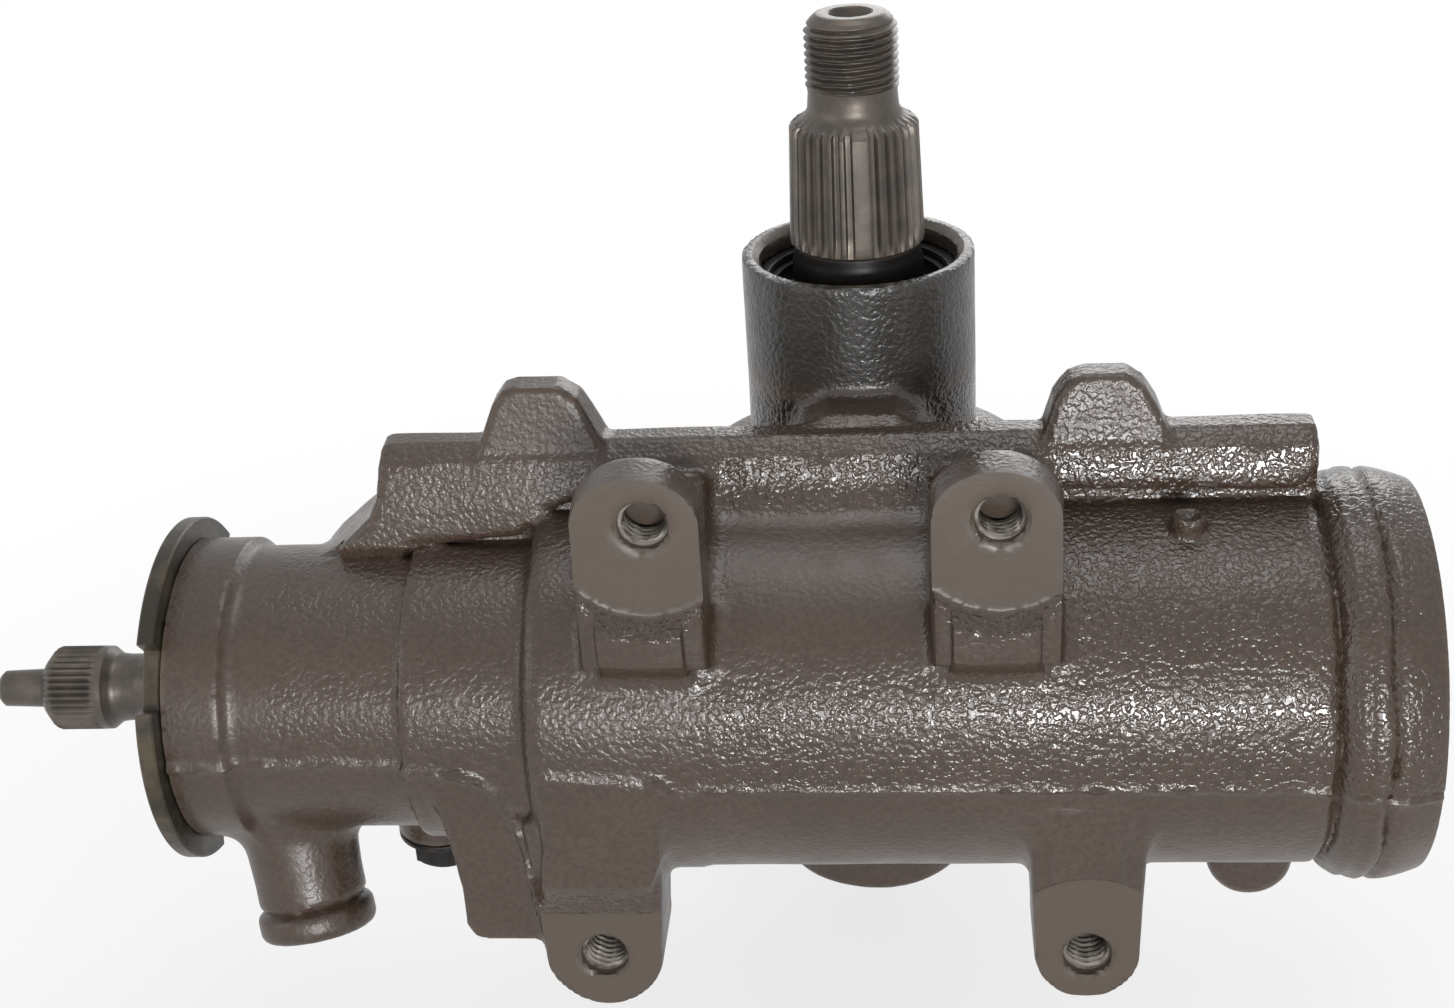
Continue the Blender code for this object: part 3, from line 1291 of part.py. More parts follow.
def make_end_cap(assembly):
    """Cylinder end plug with its rubber ring and the retaining ring that holds it in."""
    start = CYLINDER_END_X + SEAT_GAP
    outer = PLUG_BORE_R - SEAT_GAP
    rim = END_RING_X - SEAT_GAP
    floor = rim - END_PLUG_RECESS
    recess_inner, recess_outer = END_PLUG_RECESS_R
    groove_end = END_PLUG_GROOVE_X + O_RING_GROOVE_WIDTH
    plug = [
        (start, outer),
        (END_PLUG_GROOVE_X, outer),
        (END_PLUG_GROOVE_X, outer - O_RING_GROOVE_DEPTH),
        (groove_end, outer - O_RING_GROOVE_DEPTH),
        (groove_end, outer),
        (rim, outer),
        (rim, recess_outer + 2.0),
        (floor, recess_outer),
        (floor, recess_inner),
        (END_PLUG_BOSS_X, recess_inner - 1.0),
    ]
    body = assembly.add("cylinder_end_plug", turned("cylinder_end_plug", plug), painted_steel())
    square = prism("square", square_outline(END_PLUG_SQUARE), END_PLUG_BOSS_X - END_PLUG_SQUARE_DEPTH,
                   END_PLUG_BOSS_X + CUT_PAST, "YZ")
    boolean(body, 'DIFFERENCE', [assembly.guide("cut_plug_square", square)])
    assembly.add("end_plug_o_ring", rubber_ring("end_plug_o_ring", END_PLUG_GROOVE_X, outer), seal_rubber())
    ring_outer = PLUG_BORE_R + END_RING_BITE - SEAT_GAP
    ring_end = END_RING_X + END_RING_THICK
    ring_mesh = tube("end_plug_retaining_ring", END_RING_X, ring_end, ring_outer - END_RING_WIDTH,
                     ring_outer, "X", LARGE_SIDES)
    ring = assembly.add("end_plug_retaining_ring", ring_mesh, dark_hardware())
    half = RING_MOUTH / 2
    low, high = -ring_outer - CUT_PAST, -ring_outer + 2 * END_RING_WIDTH
    mouth = prism("mouth", [(-half, low), (half, low), (half, high), (-half, high)],
                  END_RING_X - CUT_PAST, ring_end + CUT_PAST, "YZ")
    boolean(ring, 'DIFFERENCE', [assembly.guide("cut_end_ring_mouth", mouth)])


def make_pitman_shaft(assembly):
    """Output shaft: sector gear, journals, tapered splines and threaded end, up along Z."""
    spline_core_low = SPLINE_BOTTOM_R - SPLINE_DEPTH
    spline_core_high = SPLINE_TOP_R - SPLINE_DEPTH
    relief = THREAD_R - THREAD_RELIEF
    body = [
        (SHAFT_BOTTOM_Z, SHAFT_R - 1.0),
        (SHAFT_BOTTOM_Z + 1.0, SHAFT_R),
        (SPLINE_BOTTOM_Z - 4.0, SHAFT_R),
        (SPLINE_BOTTOM_Z - 2.6, spline_core_low),
        (SPLINE_TOP_Z, spline_core_high),
        (THREAD_BOTTOM_Z - 1.5, THREAD_R),
        (THREAD_BOTTOM_Z, relief),
        (THREAD_BOTTOM_Z + 1.2, relief),
        (THREAD_BOTTOM_Z + 1.8, THREAD_R),
        (SHAFT_TOP_Z - 2.0, THREAD_R),
        (SHAFT_TOP_Z, THREAD_R - 2.0),
        (SHAFT_TOP_Z, CENTRE_HOLE_R),
        (SHAFT_TOP_Z - 3.0, CENTRE_HOLE_R - 1.6),
        (SHAFT_TOP_Z - 8.0, 0.0),
    ]
    at = (0, PITMAN_Y, 0)
    shaft_mesh = turned("pitman_shaft", body, "Z", MEDIUM_SIDES)
    shaft = assembly.add("pitman_shaft", shaft_mesh, shaft_steel(), at)
    stations = [
        (SPLINE_BOTTOM_Z - 1.6, spline_core_low - 0.3),
        (SPLINE_BOTTOM_Z, SPLINE_BOTTOM_R),
        (SPLINE_TOP_Z, SPLINE_TOP_R),
        (SPLINE_TOP_Z + 2.2, spline_core_high - 0.9),
    ]
    spline = serrated("spline", stations, SPLINE_COUNT, SPLINE_DEPTH, FLAT_TOOTH, WIDE_SPLINES)
    spline.transform(Matrix.Rotation(-math.pi / 2, 4, 'Y'))
    gear = prism("gear", sector_outline(), -SECTOR_HALF_WIDTH, SECTOR_HALF_WIDTH, "XY")
    added = [assembly.guide("form_spline", spline, at), assembly.guide("form_gear", gear, at)]
    boolean(shaft, 'UNION', added)
    neck_half = SLOT_NECK_HALF
    head_half = LASH_HEAD_R + 2 * SEAT_GAP
    lip_z = SHAFT_BOTTOM_Z + SLOT_LIP
    top_z = lip_z + SLOT_HEIGHT
    below_z = SHAFT_BOTTOM_Z - CUT_PAST
    outline = [(-neck_half, below_z), (neck_half, below_z), (neck_half, lip_z), (head_half, lip_z),
               (head_half, top_z), (-head_half, top_z), (-head_half, lip_z), (-neck_half, lip_z)]
    slot = prism("slot", outline, -SHAFT_R - CUT_PAST, SHAFT_R + CUT_PAST)
    boolean(shaft, 'DIFFERENCE', [assembly.guide("cut_adjuster_slot", slot, at)])


def pitman_ring_z():
    """Underside of the pitman retaining ring: the seal bore's floor plus the pieces stacked on it."""
    stack = INNER_SEAL_THICK + BACKUP_WASHER_THICK + OUTER_SEAL_THICK + SEAL_WASHER_THICK
    return SEAL_BORE_Z + stack + 5 * SEAT_GAP


def make_pitman_seals(assembly):
    """Needle bearing, two seals with their washers, and the ring that keeps them in."""
    at = (0, PITMAN_Y, 0)
    inner = SHAFT_R + RUNNING_GAP
    outer = SEAL_BORE_R - SEAT_GAP
    needle = tube("pitman_needle_bearing", NEEDLE_BOTTOM_Z, NEEDLE_TOP_Z, inner,
                  BEARING_BORE_R - SEAT_GAP, "Z")
    assembly.add("pitman_needle_bearing", needle, bearing_steel(), at)
    z = SEAL_BORE_Z + SEAT_GAP
    seal = tube("pitman_inner_seal", z, z + INNER_SEAL_THICK, inner, outer, "Z")
    assembly.add("pitman_inner_seal", seal, seal_rubber(), at)
    z += INNER_SEAL_THICK + SEAT_GAP
    washer = tube("seal_backup_washer", z, z + BACKUP_WASHER_THICK, inner + 0.6, outer, "Z")
    assembly.add("seal_backup_washer", washer, bearing_steel(), at)
    z += BACKUP_WASHER_THICK + SEAT_GAP
    top = z + OUTER_SEAL_THICK
    rim = top - OUTER_SEAL_SHORT
    lip = [(z, inner), (z, outer), (rim, outer), (rim, outer - 1.4), (rim - 2.6, outer - 2.2),
           (rim - 2.6, inner + 1.4), (top, inner + 0.5), (top, inner)]
    lip_mesh = turned("pitman_outer_seal", lip, "Z", MEDIUM_SIDES, closed=True)
    assembly.add("pitman_outer_seal", lip_mesh, seal_rubber(), at)
    z = top + SEAT_GAP
    washer = tube("pitman_seal_washer", z, z + SEAL_WASHER_THICK, SEAL_WASHER_BORE_R, outer, "Z")
    assembly.add("pitman_seal_washer", washer, dark_hardware(), at)
    z = pitman_ring_z()
    ring_outer = SEAL_BORE_R + PITMAN_RING_BITE - SEAT_GAP
    ring_mesh = tube("pitman_retaining_ring", z, z + PITMAN_RING_THICK, ring_outer - PITMAN_RING_WIDTH,
                     ring_outer, "Z")
    ring = assembly.add("pitman_retaining_ring", ring_mesh, dark_hardware(), at)
    half = RING_MOUTH / 2
    near, far = -ring_outer - CUT_PAST, -ring_outer + 2 * PITMAN_RING_WIDTH
    mouth = prism("mouth", [(near, -half), (far, -half), (far, half), (near, half)],
                  z - CUT_PAST, z + PITMAN_RING_THICK + CUT_PAST, "XY")
    mouth.transform(Matrix.Rotation(math.radians(-60.0), 4, 'Z'))
    boolean(ring, 'DIFFERENCE', [assembly.guide("cut_pitman_ring_mouth", mouth, at)])


def cover_outline(grow):
    """Round plate with four bolt lobes, about the pitman axis."""
    plate_r = CHAMBER_R + grow - 1.0
    lobe_r = COVER_LOBE_R + grow
    lobe_angle = math.degrees(math.atan2(COVER_BOLT_Y, COVER_BOLT_X))
    reach = math.hypot(COVER_BOLT_X, COVER_BOLT_Y)
    half_lobe = 68.0
    clear = 15.0
    middles = (lobe_angle, 180.0 - lobe_angle, 180.0 + lobe_angle, 360.0 - lobe_angle)
    points = []
    for k, middle in enumerate(middles):
        cx = reach * math.cos(math.radians(middle))
        cy = reach * math.sin(math.radians(middle))
        points += arc(cx, cy, lobe_r, middle - half_lobe, middle + half_lobe, 5)
        following = middles[(k + 1) % 4] + (360.0 if k == 3 else 0.0)
        points += arc(0, 0, plate_r, middle + clear, following - clear, 4)
    return points


def cover_flange_span():
    """Bottom and top of the side cover's flange, under its gasket."""
    top = GASKET_Z - SEAT_GAP - COVER_GASKET - SEAT_GAP
    return top - COVER_FLANGE, top


def make_side_cover(assembly):
    """Side cover with its pilot and bush, and the gasket over its flange."""
    at = (0, PITMAN_Y, 0)
    plate_bottom, plate_top = cover_flange_span()
    gasket_bottom = plate_top + SEAT_GAP
    gasket_top = gasket_bottom + COVER_GASKET
    spigot_z = plate_top + COVER_SPIGOT
    spigot_r = GEAR_CAVITY_R - 2 * SEAT_GAP
    bush_floor = SHAFT_BOTTOM_Z - 6.0
    bush_bore = BUSH_R + SEAT_GAP
    tap_r = LASH_SCREW_R + 2 * SEAT_GAP
    gasket_mesh = prism("side_cover_gasket", cover_outline(-0.6), gasket_bottom, gasket_top, "XY")
    gasket = assembly.add("side_cover_gasket", gasket_mesh, gasket_fibre(), at)
    cover_mesh = prism("side_cover", cover_outline(0.0), plate_bottom, plate_top, "XY")
    cover = assembly.add("side_cover", cover_mesh, cast_paint(), at)
    core = [
        (COVER_BOTTOM_Z, COVER_BOSS_R - 1.5),
        (COVER_BOTTOM_Z + 1.5, COVER_BOSS_R),
        (plate_bottom - 2.5, COVER_BOSS_R),
        (plate_bottom + 0.5, COVER_BOSS_R + 3.0),
        (plate_top - 1.0, COVER_BOSS_R + 3.0),
        (spigot_z - 0.6, spigot_r - 0.4),
        (spigot_z, spigot_r - 1.0),
        (spigot_z, COVER_PILOT_R + 1.6),
        (COVER_PILOT_TOP_Z - 6.0, COVER_PILOT_R + 0.8),
        (COVER_PILOT_TOP_Z, COVER_PILOT_R),
    ]
    core_mesh = turned("core", core, "Z", MEDIUM_SIDES)
    boolean(cover, 'UNION', [assembly.guide("form_cover_core", core_mesh, at)])
    bore = [
        (COVER_BOTTOM_Z - CUT_PAST, tap_r),
        (bush_floor, tap_r),
        (bush_floor, bush_bore),
        (COVER_PILOT_TOP_Z + CUT_PAST, bush_bore),
    ]
    cuts = [assembly.guide("cut_cover_bore", turned("cover_bore", bore, "Z", MEDIUM_SIDES), at)]
    gasket_hole = rod("gasket_hole", gasket_bottom - CUT_PAST, gasket_top + CUT_PAST, GEAR_CAVITY_R,
                      "Z", MEDIUM_SIDES)
    gasket_cuts = [assembly.guide("cut_gasket_hole", gasket_hole, at)]
    for k, place in enumerate(cover_corner_places()):
        hole = rod("cover_hole", plate_bottom - CUT_PAST, gasket_top + CUT_PAST, COVER_BOLT_R + SEAT_GAP,
                   "Z", TINY_SIDES)
        cutter = assembly.guide(f"cut_cover_hole_{k}", hole, place)
        cuts.append(cutter)
        gasket_cuts.append(cutter)
    boolean(cover, 'DIFFERENCE', cuts)
    boolean(gasket, 'DIFFERENCE', gasket_cuts)
    bush = tube("side_cover_bush", bush_floor + SEAT_GAP, COVER_PILOT_TOP_Z - 0.5, SHAFT_R + RUNNING_GAP,
                BUSH_R, "Z")
    assembly.add("side_cover_bush", bush, bronze(), at)


def make_cover_bolts(assembly):
    """Four flanged hexagon bolts up through the cover into the housing."""
    seat = cover_flange_span()[0] - SEAT_GAP
    tip = GASKET_Z + COVER_BOLT_GRIP - 0.6
    head_end = seat - COVER_BOLT_HEAD
    head_core = COVER_BOLT_AF / 2 - 1.5
    shank = [
        (head_end + 1.0, head_core),
        (seat - 1.6, head_core),
        (seat - 1.6, COVER_BOLT_FLANGE_R - 0.2),
        (seat, COVER_BOLT_FLANGE_R),
        (seat, COVER_BOLT_R),
        (tip - 1.0, COVER_BOLT_R),
        (tip, COVER_BOLT_R - 1.0),
    ]
    for k, place in enumerate(cover_corner_places()):
        shank_mesh = turned("side_cover_bolt", shank, "Z", TINY_SIDES)
        bolt = assembly.add(f"side_cover_bolt_{k + 1}", shank_mesh, dark_hardware(), place)
        head = prism("head", hexagon(COVER_BOLT_AF, 15.0 * k), head_end, seat - 0.8, "XY")
        boolean(bolt, 'UNION', [assembly.guide(f"form_bolt_head_{k}", head, place)])


def make_lash_adjuster(assembly):
    """Screw that sets the play of the gears, its head in the shaft's slot, and its lock nut."""
    at = (0, PITMAN_Y, 0)
    head_bottom = SHAFT_BOTTOM_Z + SLOT_LIP + SEAT_GAP
    head_top = head_bottom + SLOT_HEIGHT - 1.1
    screw = [
        (LASH_SCREW_END_Z, LASH_SCREW_R - 0.8),
        (LASH_SCREW_END_Z + 0.8, LASH_SCREW_R),
        (head_bottom, LASH_SCREW_R),
        (head_bottom, LASH_HEAD_R),
        (head_top, LASH_HEAD_R),
    ]
    screw_mesh = turned("lash_adjuster_screw", screw, "Z", SMALL_SIDES)
    adjuster = assembly.add("lash_adjuster_screw", screw_mesh, dark_hardware(), at)
    key = prism("key", hexagon(LASH_KEY_AF), LASH_SCREW_END_Z - CUT_PAST, LASH_SCREW_END_Z + 4.5, "XY")
    boolean(adjuster, 'DIFFERENCE', [assembly.guide("cut_key", key, at)])
    nut_top = COVER_BOTTOM_Z - SEAT_GAP
    nut_bottom = nut_top - LASH_NUT_THICK
    nut_mesh = prism("lash_lock_nut", hexagon(LASH_NUT_AF, 10.0), nut_bottom, nut_top, "XY")
    nut = assembly.add("lash_lock_nut", nut_mesh, dark_hardware(), at)
    hole = rod("nut_hole", nut_bottom - CUT_PAST, nut_top + CUT_PAST, LASH_SCREW_R + SEAT_GAP, "Z")
    boolean(nut, 'DIFFERENCE', [assembly.guide("cut_nut_hole", hole, at)])


def make_ports(assembly):
    """Tube seat in the return port and the flanged plug in the other port."""
    floor = PORT_END - PORT_DEPTH + SEAT_GAP
    outer = PORT_HOLE_R - SEAT_GAP
    seat_end = floor + PORT_SEAT_LENGTH
    seat = [
        (floor, PORT_SEAT_BORE_R),
        (floor, outer),
        (seat_end - 3.0, outer),
        (seat_end, PORT_SEAT_BORE_R + 1.2),
        (seat_end, PORT_SEAT_BORE_R),
    ]
    seat_mesh = on_port_axis(turned("return_port_seat", seat, "X", SMALL_SIDES, closed=True))
    assembly.add("return_port_seat", seat_mesh, bronze(), PORT_START)
    place = (PLUG_PORT_X, PLUG_PORT_Y, 0)
    seat_z = PLUG_PORT_FACE_Z - SEAT_GAP
    flange_z = seat_z - PORT_PLUG_FLANGE
    head_z = flange_z - PORT_PLUG_HEAD
    shank_r = PLUG_PORT_HOLE_R - 2 * SEAT_GAP
    tip_z = PLUG_PORT_FACE_Z + PLUG_PORT_DEPTH - 1.0
    profile = [
        (head_z + 0.6, PORT_PLUG_HEAD_AF / 2 - 2.0),
        (flange_z, PORT_PLUG_HEAD_AF / 2 - 2.0),
        (flange_z, PORT_PLUG_FLANGE_R - 0.4),
        (seat_z, PORT_PLUG_FLANGE_R),
        (seat_z, shank_r),
        (tip_z - 1.0, shank_r),
        (tip_z, shank_r - 0.6),
    ]
    plug_mesh = turned("pressure_port_plug", profile, "Z", SMALL_SIDES)
    plug = assembly.add("pressure_port_plug", plug_mesh, dark_hardware(), place)
    head = prism("head", hexagon(PORT_PLUG_HEAD_AF, 12.0), head_z, flange_z + 0.8, "XY")
    boolean(plug, 'UNION', [assembly.guide("form_plug_head", head, place)])


def main():
    clear_scene()
    front = -FLANGE_R
    back = PITMAN_Y + CHAMBER_R
    middle_x = (STUB_TIP_X + FLANGE_END_X) / 2
    assembly = Assembly((-middle_x, -(front + back) / 2, -LASH_SCREW_END_Z))
    make_housing(assembly)
    make_adjuster(assembly)
    make_stub_seals(assembly)
    make_stub_shaft(assembly)
    make_spool(assembly)
    make_worm(assembly)
    make_rack_piston(assembly)
    make_return_guide(assembly)
    make_guide_clamp(assembly)
    make_balls(assembly)
    make_end_cap(assembly)
    make_pitman_shaft(assembly)
    make_pitman_seals(assembly)
    make_side_cover(assembly)
    make_cover_bolts(assembly)
    make_lash_adjuster(assembly)
    make_ports(assembly)


main()
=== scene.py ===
# %% [markdown]
# Power-steering gearbox: the looks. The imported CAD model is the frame, and this script gives every
# part of it the surface of the real thing. The housing is the main lesson. It is one iron casting, so
# its forms flow into each other with soft fillets, while the machined faces and bores cut into it
# sharply. That is hard to model by hand and easy to say as a formula, so it is made from distances.

# %% The frame, and the gearbox's own axes
import json
import math

import bmesh
import bpy
import numpy as np
from mathutils import Matrix, Vector


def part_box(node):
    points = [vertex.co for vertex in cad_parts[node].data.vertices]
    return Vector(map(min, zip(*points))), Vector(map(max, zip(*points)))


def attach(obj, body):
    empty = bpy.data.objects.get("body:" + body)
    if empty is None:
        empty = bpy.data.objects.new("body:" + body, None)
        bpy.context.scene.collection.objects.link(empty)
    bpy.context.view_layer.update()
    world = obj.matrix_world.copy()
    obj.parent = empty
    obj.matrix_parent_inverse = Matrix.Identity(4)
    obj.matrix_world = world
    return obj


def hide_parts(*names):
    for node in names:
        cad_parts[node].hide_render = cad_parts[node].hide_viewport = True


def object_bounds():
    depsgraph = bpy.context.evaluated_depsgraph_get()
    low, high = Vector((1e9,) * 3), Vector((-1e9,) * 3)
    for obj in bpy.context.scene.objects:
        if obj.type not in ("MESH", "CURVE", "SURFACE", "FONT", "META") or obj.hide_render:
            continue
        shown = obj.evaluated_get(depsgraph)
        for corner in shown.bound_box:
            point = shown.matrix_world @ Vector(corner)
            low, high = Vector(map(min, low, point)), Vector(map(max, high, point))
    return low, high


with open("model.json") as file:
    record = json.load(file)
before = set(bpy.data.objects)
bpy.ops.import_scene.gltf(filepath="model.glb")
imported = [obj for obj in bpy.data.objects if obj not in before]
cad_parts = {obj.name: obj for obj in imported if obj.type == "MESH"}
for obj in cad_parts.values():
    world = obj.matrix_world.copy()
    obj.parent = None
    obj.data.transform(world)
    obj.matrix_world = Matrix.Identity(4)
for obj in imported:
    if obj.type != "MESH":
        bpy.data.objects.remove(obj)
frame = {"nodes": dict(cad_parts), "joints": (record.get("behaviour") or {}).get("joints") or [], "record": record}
cad_bounds = [list(corner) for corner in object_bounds()]
MM = 0.001
axis_of = {joint["name"]: np.array(joint.get("pos_m", (0, 0, 0))) / MM for joint in frame["joints"]}
WORM, PITMAN = axis_of["worm_turn"], axis_of["pitman_turn"]
ORIGIN = np.array([PITMAN[0], WORM[1], WORM[2]])
PITMAN_Y = PITMAN[1] - WORM[1]
print("worm to pitman axis, mm:", round(PITMAN_Y, 2))


def span(node):
    """A CAD node's lowest and highest corners in millimetres, about the worm and pitman axes."""
    low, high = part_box(node)
    return np.array(low) / MM - ORIGIN, np.array(high) / MM - ORIGIN


# %% [markdown]
# A piece is a grid of points: row by row along its axis, column by column round it. One function says
# which points share a face, and one turns points and faces into an object at the world's origin that
# rides on a body. Blender's primitives could start each piece, but a grid keeps every size a number.

# %% From points to a piece
SMOOTH_BELOW = math.radians(34)
ROUND = 1e6


def make_piece(name, points, faces, body, finish, stands_for=(), smooth_below=SMOOTH_BELOW, merge=True):
    """Millimetre points and faces become one object at the world's origin that rides on a body."""
    mesh = bpy.data.meshes.new(name)
    mesh.from_pydata((np.asarray(points, float) + ORIGIN) * MM, [], np.asarray(faces))
    if merge:
        bm = bmesh.new()
        bm.from_mesh(mesh)
        bmesh.ops.remove_doubles(bm, verts=bm.verts, dist=1e-6)
        bmesh.ops.recalc_face_normals(bm, faces=bm.faces)
        bm.to_mesh(mesh)
        bm.free()
    mesh.shade_smooth()
    mesh.set_sharp_from_angle(angle=smooth_below)
    mesh.materials.append(finish)
    piece = bpy.data.objects.new(name, mesh)
    bpy.context.scene.collection.objects.link(piece)
    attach(piece, body)
    if stands_for:
        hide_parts(*stands_for)
    print(name, "faces:", len(mesh.polygons))
    return piece


def grid_faces(rows, columns, ring=False):
    """Point (i, j) is joined to (i, j+1), (i+1, j+1) and (i+1, j); j wraps round, and i too in a ring."""
    i = np.arange(rows if ring else rows - 1)[:, None]
    j = np.arange(columns)[None, :]
    i_next, j_next = (i + 1) % rows, (j + 1) % columns
    corners = [i * columns + j, i * columns + j_next, i_next * columns + j_next, i_next * columns + j]
    return np.stack(np.broadcast_arrays(*corners), axis=-1).reshape(-1, 4)


print("faces of an open 3 by 4 grid:", len(grid_faces(3, 4)))

# %% [markdown]
# Most of a gearbox is turned on a lathe, so most pieces are a profile spun round an axis. Rounding the
# profile's corners first is cheaper than a bevel afterwards. A third value in a profile row gives
# flats, so the same function makes hexagon heads and square sockets.

# %% Profiles spun round an axis


def softened(profile, edge, ring=False, steps=3):
    """Rounds each corner c with the curve (1-t)^2 a + 2t(1-t) c + t^2 b, a and b lying `edge` from c."""
    points = np.array([tuple(row) + (ROUND,) * (3 - len(row)) for row in profile], float)
    flats = points[:, 2].copy()
    flat = points[:, :2]
    before, after = np.roll(flat, 1, axis=0) - flat, np.roll(flat, -1, axis=0) - flat
    long_before = np.maximum(np.linalg.norm(before, axis=1, keepdims=True), 1e-9)
    long_after = np.maximum(np.linalg.norm(after, axis=1, keepdims=True), 1e-9)
    reach = np.minimum(edge, 0.4 * np.minimum(long_before, long_after))
    start, end = flat + before / long_before * reach, flat + after / long_after * reach
    t = np.linspace(0, 1, steps + 1)[None, :, None]
    curve = (1 - t) ** 2 * start[:, None] + 2 * t * (1 - t) * flat[:, None] + t ** 2 * end[:, None]
    rows = np.concatenate([curve, np.broadcast_to(flats[:, None, None], curve.shape[:2] + (1,))], axis=2)
    if ring:
        return rows.reshape(-1, 3)
    return np.vstack([points[:1], rows[1:-1].reshape(-1, 3), points[-1:]])


def spun(profile, columns=96, sides=6, turn=0.0):
    """Radius at row i, column j: the profile's radius, or flats / cos(a) where a polygon lies inside it,
    a being the angle from the middle of its nearest side."""
    rows = np.asarray(profile, float)
    angle = 2 * math.pi * np.arange(columns) / columns
    side = 2 * math.pi / sides
    from_middle = (angle - turn + side / 2) % side - side / 2
    polygon = rows[:, 2:3] / np.cos(from_middle)[None, :]
    radius = np.minimum(rows[:, 1:2], polygon)
    return rows[:, 0:1] + 0 * radius, radius, angle


AXES = {"X": (0, 1, 2), "Y": (1, 2, 0), "Z": (2, 0, 1)}


def placed(along, radius, angle, axis="X", centre=(0, 0, 0)):
    """Cylinder coordinates to points: along the axis, radius * cos and radius * sin across it."""
    points = np.empty(radius.shape + (3,))
    a, b, c = AXES[axis]
    points[..., a] = along
    points[..., b] = radius * np.cos(angle)
    points[..., c] = radius * np.sin(angle)
    return points + np.asarray(centre, float)


def turned_piece(name, profile, body, finish, stands_for=(), axis="X", centre=(0, 0, 0), edge=0.3,
                 ring=False, columns=96, sides=6, turn=0.0):
    """A turned piece with its corners softened by `edge` millimetres."""
    along, radius, angle = spun(softened(profile, edge, ring), columns, sides, turn)
    points = placed(along, radius, angle, axis, centre)
    faces = grid_faces(*radius.shape, ring)
    return make_piece(name, points.reshape(-1, 3), faces, body, finish, stands_for)


print("rows of a softened square:", len(softened([(0, 0), (0, 1), (1, 1), (1, 0)], 0.1)))


# %% [markdown]
# Finishes. Each one starts from the real thing: sprayed enamel on a sand casting, ground steel with
# overspray, nitrile rubber, black oxide. Patterns are drawn in millimetres, because a Mapping node
# turns the object's metres into millimetres first.


def linear(code):
    """An sRGB hex colour as linear light: c / 12.92 below 0.04045, else ((c + 0.055) / 1.055) ^ 2.4."""
    channels = [int(code[k:k + 2], 16) / 255 for k in (1, 3, 5)]
    return tuple(c / 12.92 if c <= 0.04045 else ((c + 0.055) / 1.055) ** 2.4 for c in channels) + (1.0,)


def add_node(finish, kind, inputs=(), **settings):
    """Adds one shader node; an input is a value, or another node's output, which is linked to it."""
    node = finish.node_tree.nodes.new("ShaderNode" + kind)
    for key, value in settings.items():
        setattr(node, key, value)
    for key, value in dict(inputs).items():
        if isinstance(value, bpy.types.NodeSocket):
            finish.node_tree.links.new(value, node.inputs[key])
        else:
            node.inputs[key].default_value = value
    return node


def new_finish(name):
    """An empty material, its Principled shader, and its object coordinates in millimetres."""
    finish = bpy.data.materials.new(name)
    finish.use_nodes = True
    coordinates = add_node(finish, "TexCoord")
    scaled = add_node(finish, "Mapping", {0: coordinates.outputs["Object"], 3: (1 / MM,) * 3})
    return finish, finish.node_tree.nodes["Principled BSDF"], scaled.outputs[0]


def connect(finish, source, target):
    """Links one node's output to another node's input."""
    finish.node_tree.links.new(source, target)


print("mid grey as linear light:", round(linear("#808080")[0], 3))


# %% [markdown]
# Enamel on sand-cast iron. The sand leaves grains of one to two millimetres, the paint rounds them
# and pools between them, and each rounded grain catches its own small highlight. Machined faces were
# sprayed too, but they are flat below the paint, so the mesh carries a mask that fades the grains.

# %% Sprayed enamel on the casting
GRAIN_MM = 1.25  # a sand grain, rounded by the paint over it
SWELL_MM = 7.0   # the slow rise and fall of a cast wall
CLOUD_MM = 45.0  # patches where the paint went on thicker
GRAIN_DEEP_MM = 0.34


